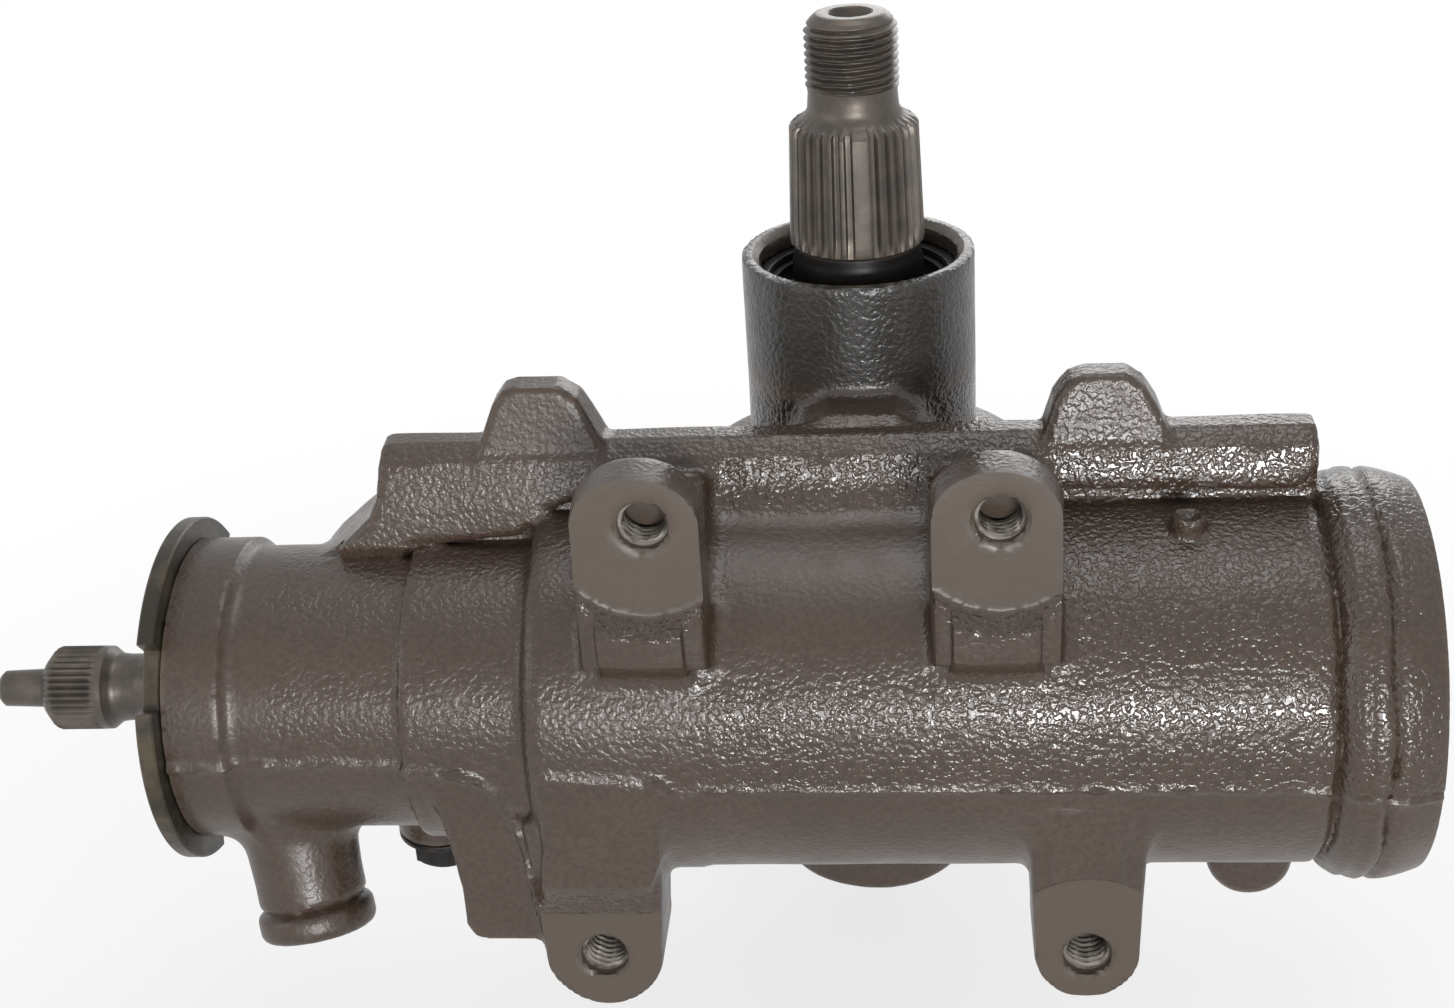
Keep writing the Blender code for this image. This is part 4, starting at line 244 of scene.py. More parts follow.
def cast_enamel():
    """Grain and swell make the bump, cloud and grain the tone, and painted shade darkens the pits between grains;
    the masks fade them where it was cut.
    """
    finish, shader, place = new_finish("sprayed_enamel_on_sand_cast_iron")
    mask = add_node(finish, "Attribute", attribute_name="machined").outputs["Fac"]
    bare = add_node(finish, "Attribute", attribute_name="thin_paint").outputs["Fac"]
    coarse = add_node(finish, "Attribute", attribute_name="sand_grain").outputs["Fac"]
    grain = add_node(finish, "TexNoise", {"Vector": place, "Scale": 1 / GRAIN_MM, "Detail": 1.5,
                                          "Roughness": 0.4, "Distortion": 0.35})
    swell = add_node(finish, "TexNoise", {"Vector": place, "Scale": 1 / SWELL_MM, "Detail": 2.0})
    cloud = add_node(finish, "TexNoise", {"Vector": place, "Scale": 1 / CLOUD_MM, "Detail": 3.0})
    rounded = add_node(finish, "MapRange", {"Value": grain.outputs["Fac"], "From Min": 0.34,
                                            "From Max": 0.68}, interpolation_type='SMOOTHSTEP')
    cast = add_node(finish, "Math", {0: 1.0, 1: mask}, operation='SUBTRACT')
    strength = add_node(finish, "Math", {0: cast.outputs[0], 1: coarse}, operation='MULTIPLY')
    amount = add_node(finish, "MapRange", {"Value": strength.outputs[0], "To Min": 0.05, "To Max": 0.55})
    height = add_node(finish, "Math", {0: swell.outputs["Fac"], 1: 0.8, 2: rounded.outputs[0]},
                      operation='MULTIPLY_ADD')
    bump = add_node(finish, "Bump", {"Strength": amount.outputs[0], "Distance": GRAIN_DEEP_MM * MM,
                                     "Height": height.outputs[0]})
    mottle = add_node(finish, "Math", {0: grain.outputs["Fac"], 1: cloud.outputs["Fac"]},
                      operation='MULTIPLY')
    mottled = add_node(finish, "MapRange", {"Value": mottle.outputs[0], "From Min": 0.15, "From Max": 0.35})
    tone = add_node(finish, "Mix", {0: mottled.outputs[0], 6: linear("#3c3027"), 7: linear("#463930")},
                    data_type='RGBA')
    thin = add_node(finish, "Mix", {0: bare, 6: tone.outputs[2], 7: linear("#2f2d2b")}, data_type='RGBA')
    # Painted shade: the pits between the rounded grains are mixed a little towards a near-black brown, as if
    # shadowed.
    pits = add_node(finish, "MapRange", {"Value": rounded.outputs[0], "To Min": 0.14, "To Max": 0.0})
    pit_depth = add_node(finish, "Math", {0: pits.outputs[0], 1: cast.outputs[0]}, operation='MULTIPLY')
    pit_shade = add_node(finish, "Mix", {0: pit_depth.outputs[0], 6: thin.outputs[2], 7: linear("#29241f")},
                    data_type='RGBA')
    light = add_node(finish, "Mix", {0: mask, 6: pit_shade.outputs[2], 7: linear("#4a4037")}, data_type='RGBA')
    gloss = add_node(finish, "MapRange", {"Value": swell.outputs["Fac"], "From Min": 0.3, "From Max": 0.7,
                                          "To Min": 0.16, "To Max": 0.25})
    fine = add_node(finish, "MapRange", {"Value": coarse, "To Min": 0.2, "To Max": 0.0})
    matt = add_node(finish, "Math", {0: gloss.outputs[0], 1: fine.outputs[0]})
    rough = add_node(finish, "Math", {0: mask, 1: 0.06, 2: matt.outputs[0]}, operation='MULTIPLY_ADD')
    connect(finish, light.outputs[2], shader.inputs["Base Color"])
    connect(finish, rough.outputs[0], shader.inputs["Roughness"])
    connect(finish, bump.outputs[0], shader.inputs["Normal"])
    return finish


ENAMEL = cast_enamel()
print(ENAMEL.name, "nodes:", len(ENAMEL.node_tree.nodes))

# %% [markdown]
# The other finishes share one recipe: a base metal or rubber, a fine direction or grain in the bump,
# and a second colour where paint dust or wear has settled.

# %% Metals, rubber, bronze and gasket board


def worked_surface(name, base, second, spread_mm, grain_mm, roughness, metallic, depth_mm=0.04,
                   stretch=(1.0, 1.0, 1.0), cover=(0.45, 0.62), dark_below_mm=None):
    """Two colours in patches of `spread_mm`, with a grain of `grain_mm` that `stretch` can draw out."""
    finish, shader, place = new_finish(name)
    drawn = add_node(finish, "VectorMath", {0: place, 1: stretch}, operation='MULTIPLY')
    grain = add_node(finish, "TexNoise", {"Vector": drawn.outputs[0], "Scale": 1 / grain_mm, "Detail": 3.0})
    patch = add_node(finish, "TexNoise", {"Vector": place, "Scale": 1 / spread_mm, "Detail": 4.0,
                                          "Roughness": 0.6})
    share = add_node(finish, "MapRange", {"Value": patch.outputs["Fac"], "From Min": cover[0],
                                          "From Max": cover[1]})
    colour = add_node(finish, "Mix", {0: share.outputs[0], 6: linear(base), 7: linear(second)},
                      data_type='RGBA')
    rough = add_node(finish, "MapRange", {"Value": grain.outputs["Fac"], "To Min": roughness - 0.08,
                                          "To Max": roughness + 0.1})
    bump = add_node(finish, "Bump", {"Strength": 0.5, "Distance": depth_mm * MM,
                                     "Height": grain.outputs["Fac"]})
    # Below the height dark_below_mm the colour turns near black.
    if dark_below_mm:
        height = add_node(finish, "SeparateXYZ", {0: place}).outputs[2]
        darkened = add_node(finish, "MapRange", {"Value": height, "From Min": dark_below_mm - 0.8,
                                              "From Max": dark_below_mm, "To Min": 1.0, "To Max": 0.0})
        colour = add_node(finish, "Mix", {0: darkened.outputs[0], 6: colour.outputs[2], 7: linear("#171514")},
                          data_type='RGBA')
    connect(finish, colour.outputs[2], shader.inputs["Base Color"])
    connect(finish, rough.outputs[0], shader.inputs["Roughness"])
    connect(finish, bump.outputs[0], shader.inputs["Normal"])
    shader.inputs["Metallic"].default_value = metallic
    return finish


# Turned steel under a dusting of paint: dull olive brown, with a faint sheen of metal.
PAINTED_STEEL = worked_surface("oversprayed_turned_steel", "#2f2b24", "#4a4234", 9.0, 1.1,
                               0.4, 0.45, 0.05)
# Ground shaft steel with overspray: grey brown, soft highlights along the splines.
SHAFT = worked_surface("ground_shaft_steel_with_overspray", "#4a4540", "#5a524b", 7.0, 0.5,
                       0.38, 0.55, 0.03, cover=(0.4, 0.6))
# The same shaft, turning near black below its splines.
SHAFT_DARK_BELOW_SPLINES = worked_surface("splined_steel_dark_below_the_splines", "#4a4540", "#5a524b",
                             7.0, 0.5, 0.38, 0.55, 0.03, cover=(0.4, 0.6), dark_below_mm=ORIGIN[2] + 91.6)
# Ground and hardened: a bright mirror, drawn out along the grinding.
BEARING = worked_surface("ground_bearing_steel", "#a9a9ab", "#8f8f92", 20.0, 0.4, 0.24, 1.0,
                         0.01, stretch=(4.0, 1.0, 1.0))
# Moulded rubber: near black and matt.
NITRILE = worked_surface("moulded_nitrile_rubber", "#1b1b1c", "#262524", 6.0, 0.8, 0.62, 0.0,
                         0.03)
# Turned bronze: warm and bright.
BRONZE = worked_surface("turned_bronze", "#a77a45", "#8c6438", 8.0, 0.5, 0.34, 1.0, 0.01)
# Black oxide on bolts and rings: dark, with a dull gleam on its edges.
HARDWARE = worked_surface("black_oxide_hardware", "#1d1b1a", "#2e2a27", 5.0, 0.6, 0.44, 0.5,
                          0.04)
# Iron cut after painting: bright thread crests in a dark hole.
TAPPED = worked_surface("freshly_tapped_iron", "#8d8780", "#5d564f", 4.0, 0.5, 0.3, 0.85,
                        0.03)
# Pressed gasket board: brown, matt and fibrous at its edge.
FIBRE = worked_surface("pressed_gasket_board", "#6a5840", "#54452f", 3.0, 0.4, 0.86, 0.0,
                       0.05)
FINISH_OF = {"cast_paint": ENAMEL, "painted_steel": PAINTED_STEEL, "shaft_steel": SHAFT,
             "bearing_steel": BEARING, "seal_rubber": NITRILE, "bronze": BRONZE,
             "dark_hardware": HARDWARE, "gasket_fibre": FIBRE}
for subpart in frame["record"]["subparts"]:
    mesh = frame["nodes"][subpart["node"]].data
    mesh.materials.clear()
    mesh.materials.append(FINISH_OF[subpart["material_slot"]])
print("finishes:", len(FINISH_OF))

# %% [markdown]
# Distances. A form is a function that says how far a point lies from its surface, negative inside.
# The lower of two distances is their union. Cast forms meet in fillets, which a smooth minimum gives:
# where two distances are nearly equal, it digs in a little deeper than either. A machined cut is the
# sharp kind: the higher of the casting's distance and the cutter's, turned round.

# %% Forms as distances


def fused(a, b, fillet):
    """Smooth union: min(a, b) - h^2 fillet / 4, where h = max(0, 1 - |a - b| / fillet)."""
    h = np.maximum(fillet - np.abs(a - b), 0.0) / fillet
    return np.minimum(a, b) - h * h * fillet / 4


def trimmed(a, b, edge):
    """Smooth intersection: the smooth union of the two outsides, turned round."""
    return -fused(-a, -b, edge)


def slab(t, low, high):
    """Between two planes: the farther outside of the two."""
    return np.maximum(low - t, t - high)


def ramp(t, low, high):
    """0 below low, 1 above high, and straight between them."""
    return np.clip((t - low) / (high - low), 0.0, 1.0)


def bar(across, along, radius, low, high, edge):
    """A round bar: its radius and its two ends, with a rounded edge between them."""
    return trimmed(across - radius, slab(along, low, high), edge)


def convex(a, b, outline):
    """A convex outline in the plane of a and b: the farthest outside of its edges' lines."""
    corners = np.asarray(outline, float)
    ahead = np.roll(corners, -1, axis=0)
    area = np.sum(corners[:, 0] * ahead[:, 1] - ahead[:, 0] * corners[:, 1])
    if area < 0:
        corners, ahead = corners[::-1], np.roll(corners[::-1], -1, axis=0)
    distance = -1e9
    for (pa, pb), (qa, qb) in zip(corners, ahead):
        length = math.hypot(qa - pa, qb - pb)
        distance = np.maximum(distance, ((a - pa) * (qb - pb) - (b - pb) * (qa - pa)) / length)
    return distance


def flat_outline(a, b, outline):
    """Any outline: the nearest distance to its edges, negative where a ray towards +a crosses an odd
    number of them."""
    corners = np.asarray(outline, float)
    nearest, inside = 1e9, False
    for (pa, pb), (qa, qb) in zip(corners, np.roll(corners, -1, axis=0)):
        da, db, length = qa - pa, qb - pb, (qa - pa) ** 2 + (qb - pb) ** 2
        t = np.clip(((a - pa) * da + (b - pb) * db) / length, 0.0, 1.0)
        nearest = np.minimum(nearest, np.hypot(a - pa - t * da, b - pb - t * db))
        if db:
            inside = inside ^ (((b >= pb) != (b >= qb)) & (a < pa + (b - pb) * da / db))
    return np.where(inside, -nearest, nearest)


def tongue(a, b, centre_a, centre_b, radius, up):
    """A strip with one round end: the distance to a line that starts at the centre, less the radius."""
    beyond = np.maximum((b - centre_b) * up, 0.0)
    return np.hypot(a - centre_a, beyond) - radius


print("two walls meeting in a 4 mm fillet gain, mm:", float(-fused(0.0, 0.0, 4.0)))


# %% [markdown]
# The casting's forms follow the CAD's sizes. Most of them are used by several forms, so they stand
# here together, in millimetres from where the worm axis passes the pitman axis.

# %% Sizes that the forms share
(VALVE_END_X, HOUSING_FRONT_Y, _), (FLANGE_END_X, CHAMBER_BACK_Y, BOSS_TOP_Z) = span("housing")
FLANGE_R = -HOUSING_FRONT_Y
CHAMBER_R = CHAMBER_BACK_Y - PITMAN_Y
GASKET_Z = span("side_cover_gasket")[1][2] + 0.3
MAIN_R, BOSS_R = 44.5, 28.3
VALVE_R, NECK_R = 34.3, 36.9
PAD_FACE_Y = -40.0
UPPER_HOLES = ((-45.0, 61.6), (30.9, 61.6))
LOWER_HOLES = ((-62.3, -51.6), (50.6, -51.6))
RAIL_TOP_Z, RAIL_RIGHT_X = 60.5, 104.0
COVER_BOLTS = [(sx * 42.0, PITMAN_Y + sy * 30.0) for sx, sy in ((-1, -1), (1, -1), (1, 1), (-1, 1))]
PORT_START = np.array([-146.0, 0.0, 0.0])
PORT_WAY = np.array([0.17, -0.36, -1.0]) / np.linalg.norm([0.17, -0.36, -1.0])
PORT_SEAM, PORT_END = 56.0, 62.5
PLUG_PORT, PLUG_SEAT_Z = (-108.5, 6.0), -44.2
ON_PITMAN = (0, PITMAN_Y, 0)


def port_coordinates(x, y, z):
    """How far a point lies along the return port's axis, and across it."""
    dx, dy, dz = x - PORT_START[0], y - PORT_START[1], z - PORT_START[2]
    along = dx * PORT_WAY[0] + dy * PORT_WAY[1] + dz * PORT_WAY[2]
    across = np.sqrt(np.maximum(dx * dx + dy * dy + dz * dz - along * along, 0.0))
    return along, across


print("flange radius:", round(FLANGE_R, 2), "boss top:", round(BOSS_TOP_Z, 2))

# %% [markdown]
# The body was a row of turned cylinders on the pattern, so it is cylinders here too: the valve end,
# the neck, the long power cylinder, a bevelled band and the end flange. A lathe profile would do for
# these alone, but as distances they let the rail and the pads flow into them.

# %% The turned body
def turned_body(x, y, z):
    """Cylinders about the worm axis, fused, with a crease where the end band meets the flange."""
    across = np.hypot(y, z)
    body = bar(across, x, VALVE_R, VALVE_END_X - 3, -99.0, 0.5)
    body = fused(body, bar(across, x, 36.2, VALVE_END_X - 3, -147.5, 1.0), 4.0)
    body = fused(body, bar(across, x, NECK_R, -105.3, -70.0, 1.4), 1.4)
    body = fused(body, bar(across, x, MAIN_R, -76.0, 120.0, 5.0), 3.0)
    shoulder = 45.6 + 2.0 * np.clip((x - 105.0) / 3.0, 0.0, 1.0)
    band = np.maximum(across - shoulder, slab(x, 104.0, 121.0)) * 0.9
    body = fused(body, band, 1.2)
    body = trimmed(fused(body, bar(across, x, FLANGE_R, 110.5, FLANGE_END_X + 4, 1.6), 2.0),
                   across - FLANGE_R - 1.2 + 0.45 * np.maximum(x - 117.5, 0.0), 3.0)
    ragged = 1.0 + 0.2 * np.sin(z / 2.9 + 0.6 * np.sin(z / 1.7))
    crease = 1.0 * ragged * np.exp(-((x - 114.6 - 0.4 * np.sin(z / 5.0)) / 0.9) ** 2)
    valley = 1.1 * np.exp(-((x - 103.6 - 0.3 * np.sin(z / 4.0)) / 0.95) ** 2)
    return body + crease + valley


print("end band at its middle, mm from the surface:", round(float(turned_body(109.0, -48.0, 0.0)), 2))

# %% [markdown]
# A sand mould is made in halves, and where they meet the iron creeps out as a ragged ridge. It follows
# two measured lines across the front, and two sine waves make it rise and fall, because nobody
# meant it to be neat. Bump alone would vanish against the outline, so it is part of the form.

# %% The parting line
SEAMS = (((-170.0, -0.5), (-112.0, -1.2), (-101.0, -1.8), (-93.3, -2.7), (-88.1, -4.1), (-84.4, -7.6),
          (-79.9, -19.9), (-77.7, -31.2), (-77.2, -38.0)),
         ((-46.5, 0.6), (-40.6, -4.2), (-37.5, -2.1), (28.0, -3.0), (93.3, -3.6), (125.0, -5.1)))


def parting_line(x, y, z):
    """A ragged ridge along the line where the mould's halves met, on the side towards -Y."""
    nearest = 1e9
    for line in SEAMS:
        for (xa, za), (xb, zb) in zip(line, line[1:]):
            length = (xb - xa) ** 2 + (zb - za) ** 2
            t = np.clip(((x - xa) * (xb - xa) + (z - za) * (zb - za)) / length, 0.0, 1.0)
            nearest = np.minimum(nearest, np.hypot(x - xa - t * (xb - xa), z - za - t * (zb - za)))
    ragged = 0.65 + 0.35 * np.sin(x / 1.9 + 1.2 * np.sin(x / 4.3)) * np.sin(x / 7.7 + 1.3)
    height = np.where((x < -138) | (x > 30) | (np.abs(x + 84) < 12), 1.6, 1.1) * ragged
    return height * np.exp(-(nearest / 0.95) ** 2) * (y < -10)


print("points on the parting line:", sum(len(line) for line in SEAMS))

# %% [markdown]
# The gallery rail carries the oil passage along the top. Its section is one outline in Y and Z, cut
# off by its ends and by the lip that its lower edge follows. Two lugs stand on it. An extruded
# outline with bevels would be stiff here, because the lip rises and falls along its way.

# %% Gallery rail and its lugs
RAIL_SECTION = [(-1.6, 20.0), (-1.4, 38.0), (0.4, 47.0), (3.2, 57.4), (7.5, RAIL_TOP_Z), (14.0, RAIL_TOP_Z),
                (17.5, 56.5), (20.0, 44.0), (24.0, 20.0)]
RAIL_LEFT = ((30.0, 34.0, 44.5, 49.0, 62.0), (-131.0, -127.5, -115.5, -113.3, -111.8))
LIP = ((-130.0, -108.2, -105.2, -91.0, -79.5, -74.0, -66.5, -40.0, -34.0, 18.0, 24.0, 47.0, 99.0, 104.0),
       (34.2, 34.4, 37.0, 37.4, 38.6, 43.6, 45.6, 45.6, 32.0, 32.0, 45.4, 46.4, 45.4, 48.2))
LUGS = (((-89.5, 50.0), (-88.4, 60.0), (-84.6, 69.8), (-82.0, 73.3), (-79.0, 74.6), (-68.6, 74.4),
         (-64.4, 71.0), (-61.6, 65.4), (-58.8, 60.0), (-57.5, 50.0)),
        ((41.0, 50.0), (42.3, 60.0), (44.8, 68.0), (48.0, 72.6), (51.8, 74.2), (61.0, 74.2), (65.2, 71.0),
         (68.4, 65.6), (70.6, 60.0), (71.5, 50.0)))


def rail_and_lugs(x, y, z):
    """The rail's section along X, cut off by its ends and by the lip line that its lower edge follows."""
    left = np.interp(z, *RAIL_LEFT)
    ends = np.maximum((left - x) * 0.8, x - RAIL_RIGHT_X)
    lip = np.interp(x, *LIP) - z + 0.35 * (y + 1.6)
    section = trimmed(convex(y, z, RAIL_SECTION), ends, 2.0)
    rail = trimmed(section, lip * 0.95, 4.2)
    rail = np.minimum(rail, np.maximum(section, 3.4 - y))
    for outline in LUGS:
        depth = convex(y, z, [(1.6, 46.0), (3.7, 57.0), (3.9, 71.2), (6.6, 74.6), (15.0, 74.6), (16.5, 70.0),
                              (17.5, 46.0)])
        rail = fused(rail, trimmed(convex(x, z, outline), depth, 1.8), 1.6)
    return rail


print("rail with", len(LUGS), "lugs; its lip bends at", len(LIP[0]), "places")

# %% [markdown]
# Round the pitman axis the casting widens for the sector gear: a chamber with a domed shoulder, a neck
# to the cylinder, four bolt lobes for the cover, and the tall boss of the output shaft. The arch is
# the web by which the boss grows out of the rail.

# %% Gear chamber, boss and bolt lobes about the pitman axis
def gear_chamber(x, y, z):
    """The chamber, its neck to the cylinder, the four bolt lobes and the boss, fused."""
    across = np.hypot(x, y - PITMAN_Y)
    chamber = bar(across, z, CHAMBER_R, GASKET_Z - 3, 36.0, 16.0)
    neck_outline = [(-46.6, PITMAN_Y), (-54.0, 4.0), (54.0, 4.0), (46.6, PITMAN_Y)]
    neck = trimmed(convex(x, y, neck_outline), slab(z, -36.0, 27.5), 6.0)
    chamber = fused(chamber, neck, 6.0)
    for bolt_x, bolt_y in COVER_BOLTS:
        lobe = bar(np.hypot(x - bolt_x, y - bolt_y), z, 11.5, GASKET_Z - 3, GASKET_Z + 20.0, 5.0)
        chamber = fused(chamber, lobe, 4.0)
    boss = trimmed(across - BOSS_R, slab(z, 0.0, BOSS_TOP_Z), 1.4)
    return fused(chamber, boss, 5.0)


def arch(x, y, z):
    """The low bridge of metal between the rail's top and the boss."""
    outline = [(-17.0, 50.0), (-13.0, 59.0), (-7.5, 62.4), (8.6, 62.4), (14.0, 58.6), (17.5, 50.0)]
    return trimmed(convex(x, z, outline), slab(y, 13.4, 36.0), 2.6)


print("chamber radius:", round(CHAMBER_R, 2), "bolt lobes:", len(COVER_BOLTS))

# %% [markdown]
# Four pads meet the vehicle's frame. The upper two are tongues with elliptical tops, a web behind and
# a proud pedestal below; the lower two are ears below a block. Their flat faces aren't made here: a
# later cell mills them, as the works does, and that leaves the curved ledge below each face.

# %% Pads and ears that face the frame rail
PEDESTAL_Y = PAD_FACE_Y - 4.5
PADS = ((-46.9, -47.2), (30.1, 29.9))
PAD_HALF, PAD_RISE, PAD_BACK_Y = 13.9, 11.3, -28.5
LEFT_EAR, RIGHT_EAR = (-62.3, -51.7), (50.5, -51.7)


def upper_pads(x, y, z):
    """Each pad: a tongue with an elliptical top, a web behind it, and a proud pedestal below it."""
    pads = 1e9
    centre_z = UPPER_HOLES[0][1]
    for centre_x, pedestal_x in PADS:
        squashed = centre_z + np.maximum(z - centre_z, 0.0) * PAD_HALF / PAD_RISE
        grow = 0.05 * np.maximum(y - PAD_FACE_Y, 0.0)
        side = (tongue(x, squashed, centre_x, centre_z, PAD_HALF, 1) - grow) * 0.9
        strip = trimmed(np.maximum(side, 26.5 - z), slab(y, PAD_FACE_Y - 1.6, PAD_BACK_Y), 2.4)
        web = convex(y, z, [(-36.0, 18.0), (-36.0, 68.5), (PAD_BACK_Y, 68.5), (3.0, 53.5), (3.0, 18.0)])
        web = trimmed(web, np.abs(x - centre_x) - 12.3, 3.0)
        profile = [(PEDESTAL_Y, 47.0), (PEDESTAL_Y, 30.0), (-42.8, 27.6), (-36.0, 20.5), (-20.0, 18.0),
                   (-20.0, 47.0)]
        pedestal = trimmed(convex(y, z, profile), np.abs(x - pedestal_x) - 9.6, 1.4)
        pads = np.minimum(pads, fused(np.minimum(strip, web), pedestal, 0.8))
    return pads


def lower_ears(x, y, z):
    """The left ear hangs below a straight block, the right one below a narrow one."""
    left = tongue(x, z, *LEFT_EAR, 13.9, -1) - 0.06 * np.maximum(z + 50.0, 0.0)
    left = trimmed(np.maximum(left, z + 14.0), slab(y, PAD_FACE_Y - 1.2, -16.0), 3.2)
    outline = [(-71.5, 1.0), (-74.4, -24.0), (-76.8, -39.0), (-47.2, -39.0), (-46.8, -29.0), (-44.6, -17.0),
               (-39.5, -2.0)]
    profile = [(PEDESTAL_Y, 1.0), (PEDESTAL_Y, -28.5), (PAD_FACE_Y, -38.5), (-18.0, -39.0), (-18.0, 1.0)]
    block = trimmed(convex(x, z, outline), convex(y, z, profile), 1.8)
    ears = fused(left, block, 1.2)
    right = tongue(x, z, *RIGHT_EAR, 12.6, -1) - 0.04 * np.maximum(z + 50.0, 0.0)
    right = trimmed(np.maximum(right, z + 14.0), slab(y, PAD_FACE_Y - 1.6, -16.0), 3.2)
    profile = [(-42.9, -10.0), (-42.9, -34.5), (PAD_FACE_Y, -38.0), (-18.0, -38.0), (-18.0, -10.0)]
    stand = trimmed(convex(y, z, profile), np.abs(x - 49.9) - 9.1, 1.6)
    return np.minimum(ears, fused(right, stand, 1.2))


print("pads at x:", [hole[0] for hole in UPPER_HOLES], "ears at x:", LEFT_EAR[0], RIGHT_EAR[0])

# %% [markdown]
# A flat web stiffens the corner between the valve end and the left ear. Its outline is hollow on the
# left, so it needs the general outline distance and not the convex one.

# %% Gusset between the valve end and the left ear
def gusset(x, y, z):
    """A flat web with a rounded lower corner; its right side runs on under the ear's block."""
    outline = [(-98.8, -2.1), (-99.3, -12.0), (-97.1, -22.0), (-95.4, -35.0), (-95.4, -45.6), (-93.7, -48.8),
               (-90.7, -50.0), (-70.0, -50.0), (-70.0, -2.5)]
    return trimmed(flat_outline(x, z, outline), slab(y, -36.2, -12.0), 1.8)


print("gusset, mm from its middle to its surface:", round(float(-gusset(-85.0, -24.0, -25.0)), 1))

# %% [markdown]
# The return port leans forward and down, so it is worked out along its own axis, with a raised seam
# near its end. The plugged port, the rear lug and the small nub on the cylinder are bars and a tongue.

# %% Ports, rear lug and nub
def ports_and_lugs(x, y, z):
    """The return port, the plugged port and the rear lug; and apart from them the dimpled nub."""
    along, across = port_coordinates(x, y, z)
    taper = 1.2 * np.clip((PORT_SEAM - 8.0 - along) / 24.0, 0.0, 1.0)
    forms = trimmed(across - 13.2 - taper, slab(along, 8.0, PORT_SEAM + 2.0), 1.0)
    forms = fused(forms, bar(across, along, 14.3, PORT_SEAM - 1.0, PORT_END, 3.0), 0.8)
    forms = forms + 0.9 * np.exp(-((along - PORT_SEAM + 1.4) / 0.8) ** 2) * (across < 20.0)
    stand = np.hypot(x - PLUG_PORT[0], y - PLUG_PORT[1]) - 11.5 - 0.06 * (z - PLUG_SEAT_Z)
    forms = fused(forms, np.maximum(stand, slab(z, -47.0, -12.0)), 2.0)
    rear = tongue(x, z, 95.7, -64.5, 10.8, -1)
    forms = np.minimum(forms, trimmed(np.maximum(rear, z + 28.0), slab(y, 13.5, 25.5), 5.0))
    lean = z * math.tan(math.radians(13.0))
    nub = trimmed(np.hypot(x - 73.5, y + lean) - 3.9, slab(z, 30.0, 47.6), 1.6)
    dimple = np.hypot(np.hypot(x - 73.5, y + lean), z - 49.4) - 3.3
    return forms, trimmed(nub, -dimple, 0.6)


print("return port leans, degrees from straight down:", round(math.degrees(math.acos(-PORT_WAY[2])), 1))


# %% [markdown]
# The whole casting: the forms fused in the order that the pattern maker would glue them, then a
# slight swell everywhere, because no cast face is quite flat. The fillet grows with the form.

# %% The casting


def casting(x, y, z):
    """All cast forms, fused; a mould shift below the parting line; a swell of about 0.1 mm."""
    solid = turned_body(x, y, z)
    solid = fused(solid, gusset(x, y, z), 1.6)
    between_pads = ramp(x, -40.0, -32.0) * ramp(-x, -24.0, -16.0)
    solid = fused(solid, rail_and_lugs(x, y, z), 2.4 + 6.0 * between_pads)
    solid = fused(solid, gear_chamber(x, y, z), 5.0)
    solid = fused(solid, arch(x, y, z), 3.0)
    solid = fused(solid, upper_pads(x, y, z), 4.0)
    solid = fused(solid, lower_ears(x, y, z), 3.5)
    forms, nub = ports_and_lugs(x, y, z)
    solid = fused(solid, forms, 6.0)
    solid = fused(solid, nub, 1.6)
    shift = 0.5 * np.clip(0.5 - (z + 3.0) / 0.8, 0.0, 1.0) * (y < -10) * (x > -38)
    swell = np.sin(x / 5.3 + 0.7 * np.sin(z / 6.1)) * np.sin(y / 4.7 + 1.1) * np.sin(z / 5.9 + 0.4)
    return solid + 0.11 * swell + shift - parting_line(x, y, z)


print("worm axis, mm below the cast surface:", round(float(-casting(0.0, 0.0, 0.0)), 1))

# %% [markdown]
# Machining. The bores are turned after casting, so their edges are sharp and cut through every
# fillet. Each one is a cylinder between two planes, and one table lists them all.

# %% The bores
BORE_R, ADJUSTER_BORE_R, CYLINDER_R, PLUG_BORE_R = 26.0, 30.5, 40.0, 41.8
VALVE_BODY_LEFT_X = span("valve_body")[0][0]
SEAL_BORE_R, BEARING_BORE_R, CAVITY_R = 24.2, 20.8, 33.0
PARTITION_X, CYLINDER_START_X, CYLINDER_END_X = -79.2, -71.0, 103.8
RING_LOW_Z, RING_HIGH_Z = span("pitman_retaining_ring")[0][2] - 0.3, span("pitman_retaining_ring")[1][2] + 0.3
END_RING_LOW_X, END_RING_HIGH_X = (edge[0] + shift for edge, shift in
                                   zip(span("end_plug_retaining_ring"), (-0.3, 0.3)))


